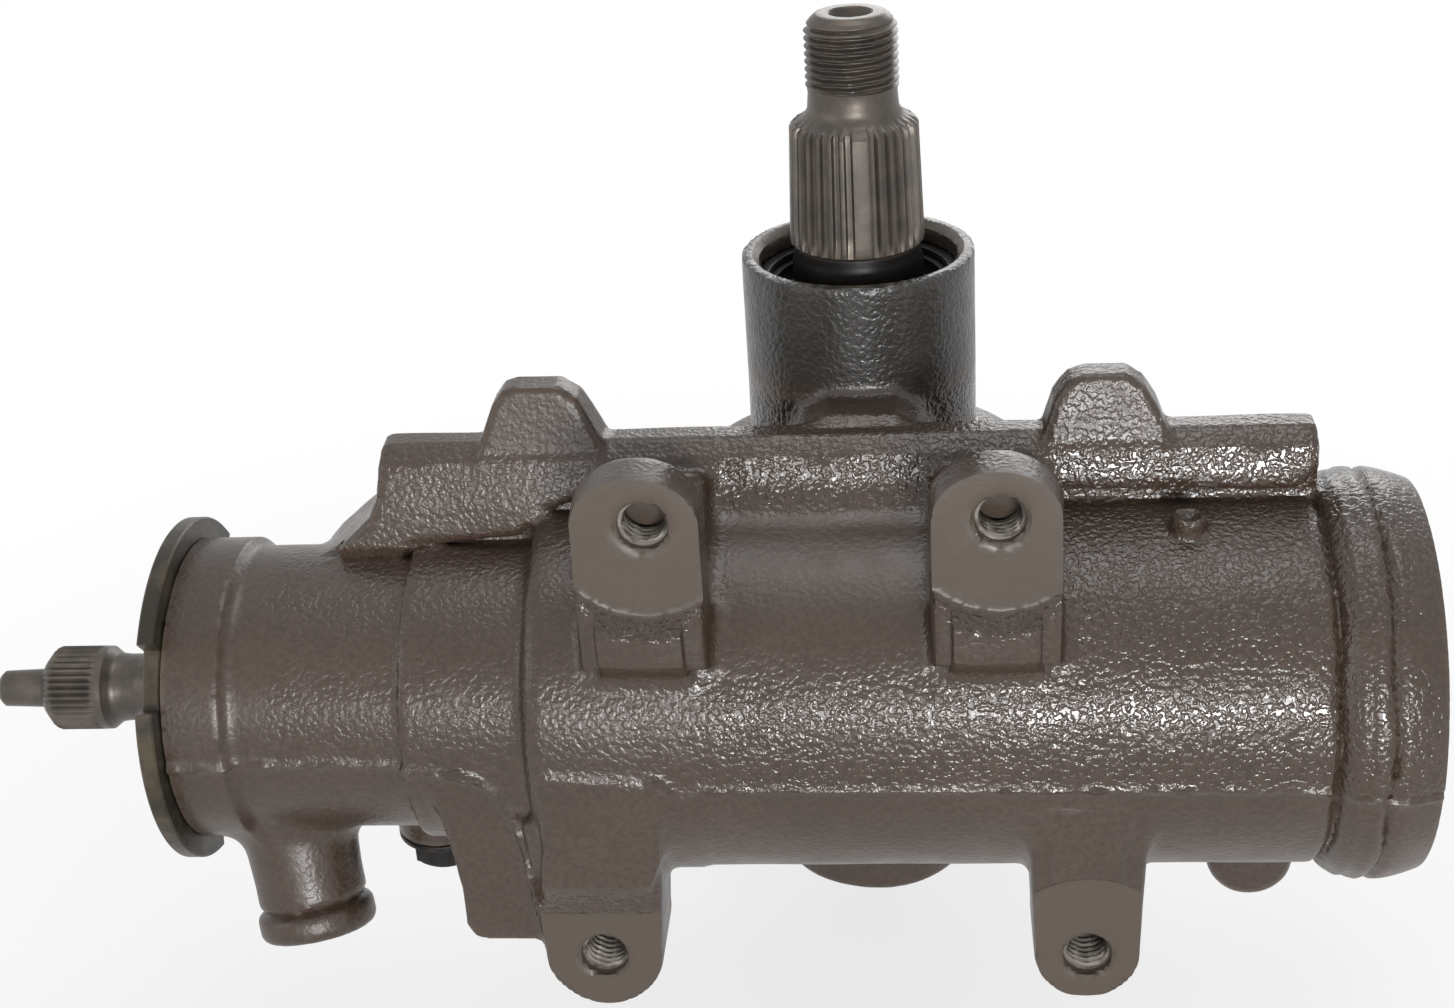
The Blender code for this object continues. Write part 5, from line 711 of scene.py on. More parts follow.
def bores(x, y, z):
    """The turned bores on both axes, each a plain cylinder between two planes."""
    worm, pitman = np.hypot(y, z), np.hypot(x, y - PITMAN_Y)
    plan = (
        (worm, x, ADJUSTER_BORE_R, VALVE_END_X - 9, VALVE_BODY_LEFT_X - 2.4),
        (worm, x, BORE_R, -150.0, PARTITION_X),
        (worm, x, 16.0, -90.0, -60.0),
        (worm, x, CYLINDER_R, CYLINDER_START_X, CYLINDER_END_X),
        (worm, x, PLUG_BORE_R, CYLINDER_END_X, FLANGE_END_X + 9),
        (worm, x, PLUG_BORE_R + 1.6, END_RING_LOW_X, END_RING_HIGH_X),
        (pitman, z, CAVITY_R, GASKET_Z - 9, 24.0),
        (pitman, z, BEARING_BORE_R, 10.0, 62.0),
        (pitman, z, SEAL_BORE_R, 62.0, BOSS_TOP_Z + 9),
        (pitman, z, SEAL_BORE_R + 1.3, RING_LOW_Z, RING_HIGH_Z),
    )
    cut = 1e9
    for across, along, radius, low, high in plan:
        cut = np.minimum(cut, np.maximum(across - radius, slab(along, low, high)))
    mouth = pitman - SEAL_BORE_R - (z - BOSS_TOP_Z + 1.6)
    end_mouth = worm - PLUG_BORE_R - (x - FLANGE_END_X + 1.2)
    cut = np.minimum(cut, np.maximum(mouth, BOSS_TOP_Z - 3 - z) * 0.7)
    return np.minimum(cut, np.maximum(end_mouth, FLANGE_END_X - 3 - x) * 0.7)


print("cylinder bore, mm:", 2 * CYLINDER_R, "long:", CYLINDER_END_X - CYLINDER_START_X)

# %% [markdown]
# The pads are spot-faced: a round cutter leaves a flat disc, and where it stopped, a ledge shaped like
# part of a cone. The end faces, the gasket plane, the tapped holes and the ports are cut with it.

# %% Faces and holes
THREAD_MAJOR_R, PAD_HOLE_DEPTH, EAR_HOLE_DEPTH = 5.56, 10.9, 20.0
SPOT_FACE_R, LEDGE_SLOPE = 21.5, 0.82


def faces_and_holes(x, y, z):
    """End faces, gasket plane, pad faces inside their round spot faces, and all tapped holes."""
    cut = np.minimum(x - VALVE_END_X, FLANGE_END_X - x)
    below_joint = np.maximum(z - GASKET_Z, np.maximum(3.0 - y, np.abs(x) - 62.0))
    cut = np.minimum(cut, below_joint)
    for k, (hole_x, hole_z) in enumerate(UPPER_HOLES + LOWER_HOLES):
        around = np.hypot(x - hole_x, z - hole_z)
        deep = PAD_HOLE_DEPTH if hole_z > 0 else EAR_HOLE_DEPTH
        hole = np.maximum(around - THREAD_MAJOR_R, slab(y, PAD_FACE_Y - 9, PAD_FACE_Y + deep))
        hole = np.minimum(hole, np.maximum(around + y - PAD_FACE_Y - THREAD_MAJOR_R - 1.0,
                                           y - PAD_FACE_Y - 6) * 0.7)
        cut = np.minimum(cut, hole)
        if k == len(UPPER_HOLES):
            face = np.maximum(z + 38.4, around - 30.0)
        else:
            face = (around - SPOT_FACE_R - np.maximum(PAD_FACE_Y - y, 0.0) * LEDGE_SLOPE) * 0.77
        cut = np.minimum(cut, np.maximum(y - PAD_FACE_Y, face))
    for bolt_x, bolt_y in COVER_BOLTS:
        tap = np.hypot(x - bolt_x, y - bolt_y) - 4.9
        cut = np.minimum(cut, np.maximum(tap, z - GASKET_Z - 9.0))
    along, across = port_coordinates(x, y, z)
    cut = np.minimum(cut, np.maximum(across - 7.6, PORT_END - 16.5 - along))
    cut = np.minimum(cut, np.maximum(across - 4.0, slab(along, PORT_END - 40.0, PORT_END)))
    plug = np.hypot(x - PLUG_PORT[0], y - PLUG_PORT[1])
    cut = np.minimum(cut, np.maximum(plug - 11.9, z - PLUG_SEAT_Z))
    cut = np.minimum(cut, np.maximum(plug - 6.8, z + 34.0))
    return np.minimum(cut, np.maximum(plug - 3.5, slab(z, -36.0, -18.0)))


def machined(x, y, z):
    """All the cuts together."""
    return np.minimum(bores(x, y, z), faces_and_holes(x, y, z))


def housing_form(x, y, z):
    """The casting with the machined cuts taken sharply out of it."""
    return np.maximum(casting(x, y, z), -machined(x, y, z))


print("cylinder wall, mm:", round(MAIN_R - CYLINDER_R, 2))


# %% [markdown]
# From distances to a mesh. The form is worked out on a grid, and the mesh is drawn where the distance
# changes sign. A fine grid through the whole block would take minutes, so a coarse one comes first,
# and only the blocks near the surface are worked out finely.

# %% Sampling a form on a grid


def sampled(form, low, high, step, coarse=4):
    """Distances on a grid. Blocks of coarse^3 points whose middle is farther from the surface than
    their own half diagonal keep that middle's value; the others are worked out point by point."""
    blocks = np.ceil((np.asarray(high) - low) / (step * coarse)).astype(int)
    middles = [low[k] + step * (coarse * np.arange(blocks[k]) + (coarse - 1) / 2) for k in range(3)]
    middle = form(*np.meshgrid(*middles, indexing="ij"))
    field = middle
    for axis in range(3):
        field = np.repeat(field, coarse, axis=axis)
    near = np.argwhere(np.abs(middle) < step * coarse * 0.95)
    offsets = np.stack(np.meshgrid(*[np.arange(coarse)] * 3, indexing="ij"), axis=-1).reshape(-1, 3)
    for chunk in np.array_split(near, max(1, len(near) * coarse ** 3 // 500_000)):
        index = (chunk[:, None, :] * coarse + offsets[None, :, :]).reshape(-1, 3)
        place = index * step + low
        field[tuple(index.T)] = form(*place.T)
    print("fine blocks:", len(near), "of", middle.size)
    return field


def gradient(form, points, reach=0.02):
    """Direction in which the distance grows fastest: central differences, scaled to length one."""
    slope = np.empty_like(points)
    for axis in range(3):
        shift = np.zeros(3)
        shift[axis] = reach
        slope[:, axis] = form(*(points + shift).T) - form(*(points - shift).T)
    return slope / np.maximum(np.linalg.norm(slope, axis=1, keepdims=True), 1e-12)


def cube(x, y, z):
    """A trial form: a cube that reaches 1 mm each way."""
    return np.maximum(np.maximum(np.abs(x), np.abs(y)), np.abs(z)) - 1.0


trial = sampled(cube, (-1.6,) * 3, (1.6,) * 3, 0.19)
print("trial cube, grid points inside:", int((trial < 0).sum()), "of", trial.size)


# %% [markdown]
# Dual contouring. Every grid edge that the surface crosses gives one point and one normal. Every cell
# then gets one vertex, placed where the planes of its crossings meet. Marching cubes would be
# simpler, but it rounds off every machined edge.

# %% Dual contouring


def crossings(form, field, low, step):
    """For each grid edge that the surface crosses: the point, and the four cells that share the edge."""
    inside = field < 0
    points, cells, forward = [], [], []
    for axis in range(3):
        head, tail = [slice(None)] * 3, [slice(None)] * 3
        head[axis], tail[axis] = slice(0, -1), slice(1, None)
        index = np.argwhere(inside[tuple(head)] != inside[tuple(tail)])
        unit = np.eye(3, dtype=int)[axis]
        first, second = field[tuple(index.T)], field[tuple((index + unit).T)]
        share = (first / (first - second))[:, None]
        start, way = index * step + low, unit * step
        value = form(*(start + way * share).T)
        same = (value < 0) == (first < 0)
        low_value, high_value = np.where(same, value, first), np.where(same, second, value)
        low_share, high_share = np.where(same, share[:, 0], 0.0), np.where(same, 1.0, share[:, 0])
        gap = np.where(np.abs(low_value - high_value) < 1e-9, 1.0, low_value - high_value)
        share = low_share + (high_share - low_share) * low_value / gap
        points.append(start + way * np.clip(share, 0.0, 1.0)[:, None])
        b, c = np.eye(3, dtype=int)[(axis + 1) % 3], np.eye(3, dtype=int)[(axis + 2) % 3]
        cells.append(np.stack([index - b - c, index - c, index, index - b], axis=1))
        forward.append(first < 0)
    return np.concatenate(points), np.concatenate(cells), np.concatenate(forward)


def contoured(form, low, high, step, pull=0.04):
    """Vertices and quads. In a cell, v minimises the sum of (n . (v - p))^2 + pull |v - mean p|^2."""
    low = np.asarray(low, float)
    field = sampled(form, low, high, step)
    points, cells, forward = crossings(form, field, low, step)
    normals = gradient(form, points)
    keys = np.ravel_multi_index(tuple(cells.reshape(-1, 3).T + 1), np.array(field.shape) + 2)
    used, vertex_of = np.unique(keys, return_inverse=True)
    print("crossings:", len(points), "vertices:", len(used))
    centre = (np.stack(np.unravel_index(used, np.array(field.shape) + 2), axis=1) - 1 + 0.5) * step + low
    p = np.repeat(points, 4, axis=0) - centre[vertex_of]
    n = np.repeat(normals, 4, axis=0)
    plane = np.sum(n * p, axis=1)

    def per_cell(values):
        return np.bincount(vertex_of, weights=values, minlength=len(used))

    count = per_cell(np.ones(len(p)))
    mean = np.stack([per_cell(p[:, k]) for k in range(3)], axis=1) / count[:, None]
    matrix = np.empty((len(used), 3, 3))
    for a in range(3):
        for b in range(3):
            matrix[:, a, b] = per_cell(n[:, a] * n[:, b])
        matrix[:, a, a] += pull * count
    side = np.stack([per_cell(n[:, k] * plane) for k in range(3)], axis=1)
    side += pull * count[:, None] * mean
    vertex = np.linalg.solve(matrix, side[:, :, None])[:, :, 0]
    vertex = centre + np.clip(vertex, -0.5 * step, 0.5 * step)
    quads = vertex_of.reshape(-1, 4)
    quads = np.where(forward[:, None], quads, quads[:, ::-1])
    return vertex, quads


corner, _ = contoured(cube, (-1.6,) * 3, (1.6,) * 3, 0.19)
farthest = np.linalg.norm(corner, axis=1).max()
print("trial cube, farthest vertex from its middle, mm:", round(float(farthest), 3))


# %% [markdown]
# The housing itself. Its mesh is thinned where it is flat, and three values go onto its vertices for
# the enamel: where it was machined, where the paint is thin, and how coarse the sand was.

# %% The housing
HOUSING_STEP, HOUSING_MARGIN = 1.25, 4.1
MOST_TRIANGLES = 185_000


def thinned(piece, most):
    """Collapses edges until at most `most` triangles are left; flat places give up theirs first."""
    triangles = len(piece.data.polygons) * 2
    if triangles > most:
        piece.modifiers.new("thin", 'DECIMATE').ratio = most / triangles
        evaluated = piece.evaluated_get(bpy.context.evaluated_depsgraph_get())
        thin = bpy.data.meshes.new_from_object(evaluated)
        piece.modifiers.clear()
        piece.data = thin
    print(piece.name, "triangles:", triangles, "->", len(piece.data.polygons))


def sand_grain(x, y, z):
    """How coarse the sand left each place, 0 to 1: coarse on the drag half above the parting line and on
    the rail's front, fine on the cope half below it, on pads and ears, and at the valve end."""
    grain = 0.55 + 0.45 * ramp(x, -40.0, -28.0) * ramp(z, -5.0, -1.0)
    grain = grain * (1 - 0.55 * ramp(-z, 2.0, 6.0)) * (1 - 0.7 * ramp(-x, 135.0, 139.0))
    between_pads = ramp(x, -38.0, -28.0) * ramp(-x, -22.0, -12.0)
    below_rail = ramp(z, 20.0, 32.0) * ramp(-z, -46.5, -45.0)
    grain = grain * (1 - 0.85 * between_pads * below_rail) * (1 - 0.5 * ramp(z, 58.0, 61.0))
    in_front = ramp(-y, 35.0, 38.0) * np.maximum(ramp(z, 22.0, 27.0), ramp(-z, 24.0, 30.0))
    grain = grain * (1 - 0.6 * in_front)
    above = (z > 30.0) & (np.abs(np.hypot(np.abs(x + 7.0) - 38.0, z - 61.6) - SPOT_FACE_R - 1.8) < 2.4)
    left_ledge = (np.abs(z + 35.0) < 3.4) & (np.abs(x - LEFT_EAR[0]) < 15.0)
    return np.where((y < PAD_FACE_Y - 0.2) & (above | left_ledge), 1.3, grain)


def mark_machined(piece, cast, cut):
    """Values on each vertex: machined is high where the cut is the surface and 0 where the casting is."""
    count = len(piece.data.vertices)
    place = np.empty(count * 3)
    piece.data.vertices.foreach_get("co", place)
    x, y, z = (place.reshape(-1, 3) / MM - ORIGIN).T
    mask = np.clip((0.35 + cast(x, y, z) * -1.0 - np.abs(cut(x, y, z))) / 0.25 + 0.6, 0.0, 1.0)
    spot_cone = ramp(PAD_FACE_Y - 0.25 - y, 0.0, 0.3) * (np.abs(x) < 80)
    mask = np.where(np.abs(cut(x, y, z)) < 0.12, np.maximum(mask, 0.85), 0.0) * (1 - spot_cone)
    near_shaft = np.clip((BOSS_R + 4.0 - np.hypot(x, y - PITMAN_Y)) / 3.0, 0.0, 1.0)
    thin = near_shaft * np.clip((z - 60.0) / 6.0, 0.0, 1.0)
    for layer_name, value in (("machined", mask), ("thin_paint", thin), ("sand_grain", sand_grain(x, y, z))):
        layer = piece.data.attributes.new(layer_name, 'FLOAT', 'POINT')
        layer.data.foreach_set("value", value.astype(np.float32))
    piece.data.set_sharp_from_angle(angle=math.radians(38))


def cast_piece(name, form, low, high, step, most, cast, cut, stands_for):
    """Contours a form, keeps it inside its CAD node's box, thins it and marks what was machined."""
    vertex, quads = contoured(form, low, high, step)
    vertex = np.clip(vertex, *span(stands_for[0]))
    piece = make_piece(name, vertex, quads, "gearbox", ENAMEL, stands_for, merge=False)
    thinned(piece, most)
    piece.data.shade_smooth()
    mark_machined(piece, cast, cut)
    return piece


housing_low, housing_high = span("housing")
cast_piece("cast_housing", housing_form, housing_low - HOUSING_MARGIN, housing_high + HOUSING_MARGIN,
           HOUSING_STEP, MOST_TRIANGLES, casting, machined, ("housing",))

# %% [markdown]
# The side cover is a casting too: a round plate with four bolt lobes and the boss that carries the
# lash adjuster. The same distances make it, on a finer grid because it is small.

# %% Side cover
cover_low, cover_high = span("side_cover")
PLATE_TOP_Z = span("side_cover_gasket")[0][2] - 0.3
PLATE_THICK = 12.5
PLATE_BOTTOM_Z = PLATE_TOP_Z - PLATE_THICK
COVER_STEP, COVER_MARGIN, COVER_TRIANGLES = 1.0, 3.3, 60_000
COVER_BOSS_R, PILOT_R, BUSH_BORE_R = 25.0, 20.2, 19.3
COVER_BOTTOM_Z = cover_low[2]


def cover_casting(x, y, z):
    """The plate with its bolt lobes, and the boss of the lash adjuster below it."""
    across = np.hypot(x, y - PITMAN_Y)
    plate = across - CHAMBER_R + 1.0
    for bolt_x, bolt_y in COVER_BOLTS:
        plate = fused(plate, np.hypot(x - bolt_x, y - bolt_y) - 11.5, 5.0)
    plate = trimmed(plate, slab(z, PLATE_BOTTOM_Z, PLATE_TOP_Z + 4.0), 2.0)
    boss = bar(across, z, COVER_BOSS_R, COVER_BOTTOM_Z, PLATE_TOP_Z, 2.4)
    plate = fused(plate, boss, 6.0)
    swell = np.sin(x / 5.3) * np.sin(y / 4.7 + 1.1) * np.sin(z / 5.9 + 0.4)
    return plate + 0.1 * swell


def cover_form(x, y, z):
    """The casting cut flat at the joint, with the pilot and the bush's tube above it."""
    across = np.hypot(x, y - PITMAN_Y)
    plate = np.maximum(cover_casting(x, y, z), z - PLATE_TOP_Z)
    pilot = bar(across, z, CAVITY_R - 0.6, PLATE_TOP_Z - 4.0, PLATE_TOP_Z + 4.8, 0.6)
    tube = bar(across, z, PILOT_R + 1.0, PLATE_TOP_Z - 4.0, cover_high[2], 0.6)
    return np.maximum(np.minimum(plate, np.minimum(pilot, tube)), -cover_bores(x, y, z))


def cover_bores(x, y, z):
    """Bush bore, adjuster thread, and the four bolt holes with their flat seats."""
    across = np.hypot(x, y - PITMAN_Y)
    bush_floor = span("side_cover_bush")[0][2] - 0.3
    cut = np.minimum(np.maximum(across - BUSH_BORE_R, bush_floor - z), across - 5.6)
    for bolt_x, bolt_y in COVER_BOLTS:
        hole = np.hypot(x - bolt_x, y - bolt_y)
        cut = np.minimum(cut, np.minimum(hole - 4.9, np.maximum(hole - 10.6, z - PLATE_BOTTOM_Z)))
    return cut


def cover_machined(x, y, z):
    """The bores and everything above the joint face."""
    return np.minimum(cover_bores(x, y, z), PLATE_TOP_Z + 0.05 - z)


cast_piece("cast_side_cover", cover_form, cover_low - COVER_MARGIN, cover_high + COVER_MARGIN, COVER_STEP,
           COVER_TRIANGLES, cover_casting, cover_machined, ("side_cover",))

# %% [markdown]
# Threads. A screw thread is a height field round a cylinder: the radius depends only on how far a
# point is along the axis, less the pitch times its share of a turn. That makes the real helix.

# %% Threads and splines as height fields
PITCH_14, THREAD_FADE = 25.4 / 14, 1.2
print("pitch of 14 threads an inch, mm:", round(PITCH_14, 3))


def thread_drop(along, angle, pitch, depth, start, end):
    """Depth of a 60 degree thread: depth * |2u - 1| with flat crest and root, u being the share of a
    pitch at (along - pitch * angle / 2 pi); it fades out at both ends."""
    u = (along / pitch - angle / (2 * math.pi)) % 1.0
    wave = np.clip(1.35 * np.abs(2 * u - 1) - 0.12, 0.0, 1.0)
    ends = np.clip((along - start) / THREAD_FADE, 0, 1) * np.clip((end - along) / THREAD_FADE, 0, 1)
    return depth * wave * ends


def rows_between(profile, step_of):
    """Adds rows to a profile so that no two are farther apart than step_of says for that stretch."""
    rows = [np.asarray(profile[0], float)]
    for before, after in zip(profile, profile[1:]):
        before, after = np.asarray(before, float), np.asarray(after, float)
        gap = np.linalg.norm((after - before)[:2])
        count = max(1, int(math.ceil(gap / step_of((before[0] + after[0]) / 2))))
        rows += [before + (after - before) * k / count for k in range(1, count + 1)]
    return np.array(rows)


# %% [markdown]
# The pitman shaft's end: a centre hole for the lathe, a 7/8-14 thread, an undercut, and a tapered
# spline with 32 places, four of them left solid so that the arm goes on one way only.

# %% Pitman shaft
SHAFT_R, SHAFT_TOP_Z, SHAFT_BOTTOM_Z = 15.9, span("pitman_shaft")[1][2], span("pitman_shaft")[0][2]
THREAD_R, THREAD_LOW_Z = 11.1, 129.6
SPLINE_LOW_Z, SPLINE_HIGH_Z, SPLINE_LOW_R, SPLINE_HIGH_R = 93.0, 121.4, 16.3, 15.4
SPLINE_DEPTH, SPLINE_COUNT, WIDE_EVERY = 1.25, 32, 8
PER_TOOTH = 10


def spline_drop(along, angle):
    """Depth of the tapered spline: a flat crest, two steep flanks and a rounded root in each pitch."""
    u = (angle / (2 * math.pi) * SPLINE_COUNT) % 1.0
    tooth = np.floor(angle / (2 * math.pi) * SPLINE_COUNT + 1e-6) % WIDE_EVERY
    root = np.clip((np.abs(u - 0.62) - 0.33) / -0.12, 0.0, 1.0)
    fades_in = np.clip((along - SPLINE_LOW_Z + 1.6) / 3.4, 0, 1)
    fades_out = np.clip((SPLINE_HIGH_Z + 1.2 - along) / 2.0, 0, 1)
    return SPLINE_DEPTH * root * fades_in * fades_out * (tooth != 0)


def pitman_shaft():
    """Profile rows of (z, radius), less the thread's and the spline's depth at each point."""
    profile = [
        (SHAFT_BOTTOM_Z, 0.0), (SHAFT_BOTTOM_Z, SHAFT_R - 0.8), (SHAFT_BOTTOM_Z + 0.8, SHAFT_R),
        (SPLINE_LOW_Z - 6.0, SHAFT_R), (SPLINE_LOW_Z - 4.6, SHAFT_R - 0.5),
        (SPLINE_LOW_Z - 1.8, SHAFT_R - 0.7), (SPLINE_LOW_Z - 0.9, SPLINE_LOW_R - 0.1),
        (SPLINE_LOW_Z, SPLINE_LOW_R),
        (SPLINE_HIGH_Z - 0.8, SPLINE_HIGH_R), (SPLINE_HIGH_Z + 0.2, SPLINE_HIGH_R - 0.9),
        (SPLINE_HIGH_Z + 1.0, SPLINE_HIGH_R - 2.6), (SPLINE_HIGH_Z + 1.9, THREAD_R + 0.6),
        (SPLINE_HIGH_Z + 3.4, THREAD_R - 0.2), (THREAD_LOW_Z - 0.8, THREAD_R - 0.5),
        (THREAD_LOW_Z + 0.4, THREAD_R), (SHAFT_TOP_Z - 3.4, THREAD_R), (SHAFT_TOP_Z - 2.3, THREAD_R - 0.6),
        (SHAFT_TOP_Z - 1.0, THREAD_R - 1.7), (SHAFT_TOP_Z - 0.2, THREAD_R - 2.7),
        (SHAFT_TOP_Z, THREAD_R - 3.3), (SHAFT_TOP_Z, 5.4), (SHAFT_TOP_Z - 0.3, 5.0),
        (SHAFT_TOP_Z - 3.4, 3.3), (SHAFT_TOP_Z - 9.0, 3.1), (SHAFT_TOP_Z - 10.6, 0.0),
    ]
    fine = PITCH_14 / 9

    def step_of(z):
        return fine if THREAD_LOW_Z < z < SHAFT_TOP_Z - 0.2 else 2.0 if z > SPLINE_LOW_Z - 4 else 40.0

    rows = rows_between([row + (ROUND,) for row in profile], step_of)
    along, radius, angle = spun(rows, columns=SPLINE_COUNT * PER_TOOTH)
    outer = radius > 6.5
    threads = thread_drop(along, angle, PITCH_14, 1.15, THREAD_LOW_Z, SHAFT_TOP_Z - 1.6)
    on_splines = (along > SPLINE_LOW_Z - 2) & (along < SPLINE_HIGH_Z + 2.2)
    radius = radius - np.where(outer & (along > THREAD_LOW_Z), threads, 0.0)
    radius = radius - np.where(on_splines, spline_drop(along, angle), 0.0)
    points = placed(along, radius, angle, "Z", ON_PITMAN)
    return make_piece("pitman_shaft_end", points.reshape(-1, 3), grid_faces(*radius.shape), "pitman",
                      SHAFT_DARK_BELOW_SPLINES, ("pitman_shaft",), smooth_below=math.radians(28))


pitman_shaft()

# %% [markdown]
# The sector gear is one piece with the shaft. Its teeth are involutes: at radius r, half a tooth is
# narrower than at the pitch circle by inv(acos(base / r)) - inv(pressure angle), inv(a) = tan(a) - a.

# %% Sector gear
PITCH_R, CIRCULAR_PITCH, PRESSURE = 24.7, 15.0, math.radians(25)


def sector_gear():
    """Three teeth and the round back as one outline of (radius, angle), carried along Z."""
    base = PITCH_R * math.cos(PRESSURE)
    root, tip = PITCH_R - 4.35, PITCH_R + 3.8
    radii = np.concatenate([[root], np.linspace(base, tip, 9)])
    pressure = np.arccos(np.minimum(1.0, base / radii))
    involute = np.tan(pressure) - pressure
    half = (CIRCULAR_PITCH / 4 - 0.075) / PITCH_R + math.tan(PRESSURE) - PRESSURE - involute
    half[0] += 0.02
    pitch = CIRCULAR_PITCH / PITCH_R
    outline = []
    for k in (-1, 0, 1):
        middle = -math.pi / 2 + k * pitch
        outline += [(r, middle - h) for r, h in zip(radii, half)]
        outline += [(r, middle + h) for r, h in zip(radii[::-1], half[::-1])]
    start, end = -math.pi / 2 + pitch + half[0], 1.5 * math.pi - pitch - half[0]
    outline += [(root, a) for a in np.linspace(start, end, 42)[1:-1]]
    radius, angle = np.array(outline).T
    rows = np.array([(-20.0, 0.0), (-20.0, 0.985), (-19.4, 1.0), (19.4, 1.0), (20.0, 0.985), (20.0, 0.0)])
    points = placed(rows[:, :1] + 0 * radius, rows[:, 1:] * radius, angle, "Z", ON_PITMAN)
    faces = grid_faces(len(rows), len(radius))
    return make_piece("sector_gear", points.reshape(-1, 3), faces, "pitman", BEARING)


sector_gear()

# %% [markdown]
# The input stub: a plain pilot, then 36 fine serrations for the steering coupling, and a neck.

# %% Input stub
STUB_TIP_X = span("stub_shaft")[0][0]
SERRATION_START_X, SERRATION_END_X, SERRATION_R = -198.2, -187.3, 10.3
SERRATIONS, SERRATION_DEPTH = 36, 0.85


def stub_shaft():
    """Profile rows of (x, radius), less the serrations' depth at each point."""
    end_x = span("stub_shaft")[1][0]
    profile = [
        (STUB_TIP_X + 3.5, 0.0), (STUB_TIP_X + 2.5, 1.2), (STUB_TIP_X + 0.2, 2.0), (STUB_TIP_X, 2.3),
        (STUB_TIP_X, 3.5), (STUB_TIP_X + 1.0, 4.4), (STUB_TIP_X + 11.4, 4.75), (STUB_TIP_X + 12.0, 5.2),
        (SERRATION_START_X - 2.6, 7.2), (SERRATION_START_X - 0.4, 9.9),
        (SERRATION_START_X + 0.4, SERRATION_R), (SERRATION_END_X, SERRATION_R),
        (SERRATION_END_X + 2.2, SERRATION_R - 0.1), (SERRATION_END_X + 2.9, 9.6),
        (SERRATION_END_X + 4.4, 8.5), (SERRATION_END_X + 6.6, 8.2), (-177.0, 8.2), (-174.4, 9.3),
        (-173.4, 9.6), (end_x, 9.6), (end_x, 3.7), (-183.4, 3.7), (-183.4, 0.0),
    ]
    rows = rows_between([row + (ROUND,) for row in profile], lambda x: 1.0 if x < -170 else 40.0)
    along, radius, angle = spun(rows, columns=SERRATIONS * 8)
    u = (angle / (2 * math.pi) * SERRATIONS) % 1.0
    groove = np.clip(1.25 * np.abs(2 * u - 1) - 0.18, 0.0, 1.0)
    fades_in = np.clip((along - SERRATION_START_X + 2.2) / 2.0, 0, 1)
    fades_out = np.clip((SERRATION_END_X + 0.5 - along) / 1.2, 0, 1)
    cut = SERRATION_DEPTH * groove * (fades_in * fades_out)
    radius = np.where(radius > 6.0, np.maximum(radius - cut, 5.5), radius)
    points = placed(along, radius, angle)
    return make_piece("input_stub_end", points.reshape(-1, 3), grid_faces(*radius.shape), "input_stub",
                      SHAFT, ("stub_shaft",), smooth_below=math.radians(30))


stub_shaft()

# %% [markdown]
# The lock ring round the adjuster plug: a flat turned ring with three notches for a hook spanner.
# The notch is a drop in radius over a range of angles, so the ring is a height field as well.

# %% Adjuster lock ring and adjuster plug
RING_LEFT_X, RING_RIGHT_X = span("adjuster_lock_ring")[0][0], span("adjuster_lock_ring")[1][0]
RING_R, RING_BORE_R, NOTCH_FLOOR_R, NOTCH_HALF = 41.6, 30.5, 36.0, 7.9
NOTCH_ANGLES = (147.0, 27.0, -93.0)


def lock_ring():
    """A flat ring whose outer radius drops to the notch's flat floor and straight walls."""
    columns = 1440
    angle = 2 * math.pi * np.arange(columns) / columns
    outer = np.full(columns, RING_R)
    for middle in NOTCH_ANGLES:
        away = (angle - math.radians(middle) + math.pi) % (2 * math.pi) - math.pi
        side = np.abs(RING_R * np.sin(away))
        floor = NOTCH_FLOOR_R / np.cos(away)
        wall = NOTCH_HALF / np.maximum(np.abs(np.sin(away)), 1e-6)
        on_floor = np.abs(NOTCH_FLOOR_R * np.tan(away)) < NOTCH_HALF
        cut = np.where(np.abs(away) < 1.0, np.where(on_floor, floor, wall), RING_R)
        outer = np.where(side < NOTCH_HALF + 0.01, np.minimum(outer, cut), outer)
    thick = RING_RIGHT_X - RING_LEFT_X
    rows = np.array([(0.0, 0.0, 0.0, 0.4), (0.4, 0.0, 0.0, 0.0), (thick - 0.4, 0.0, 0.0, 0.0),
                     (thick, 0.0, 0.0, 0.4), (thick, 1.0, 0.4, 0.0), (thick - 0.4, 1.0, 0.0, 0.0),
                     (0.4, 1.0, 0.0, 0.0), (0.0, 1.0, 0.4, 0.0)])
    along = RING_LEFT_X + rows[:, 0:1] + 0 * angle
    radius = np.where(rows[:, 1:2] == 0.0, outer - rows[:, 3:4], RING_BORE_R + rows[:, 2:3])
    points = placed(along, radius, angle)
    return make_piece("lock_ring", points.reshape(-1, 3), grid_faces(*radius.shape, ring=True), "gearbox",
                      PAINTED_STEEL, ("adjuster_lock_ring",))


def adjuster_plug():
    """A turned ring with its seal pocket and its O-ring groove."""
    low, high = span("adjuster_plug")
    face, inner = low[0], high[0]
    seal_floor = span("stub_seal")[1][0] + 0.3
    groove = span("adjuster_o_ring")[0][0] - 0.6
    profile = [
        (face, 17.2), (face, 19.5), (face + 1.1, 20.0), (face + 1.1, 25.5), (face, 26.0), (face, 29.2),
        (face + 1.0, 30.2), (groove, 30.2), (groove, 27.6), (groove + 3.6, 27.6), (groove + 3.6, 29.6),
        (inner, 29.6), (inner, 13.6), (seal_floor + 1.4, 13.6), (seal_floor + 1.4, 11.2), (seal_floor, 11.2),
        (seal_floor, 17.2),
    ]
    return turned_piece("adjuster_plug_turned", profile, "gearbox", PAINTED_STEEL, ("adjuster_plug",),
                        ring=True, edge=0.3)


lock_ring()
adjuster_plug()

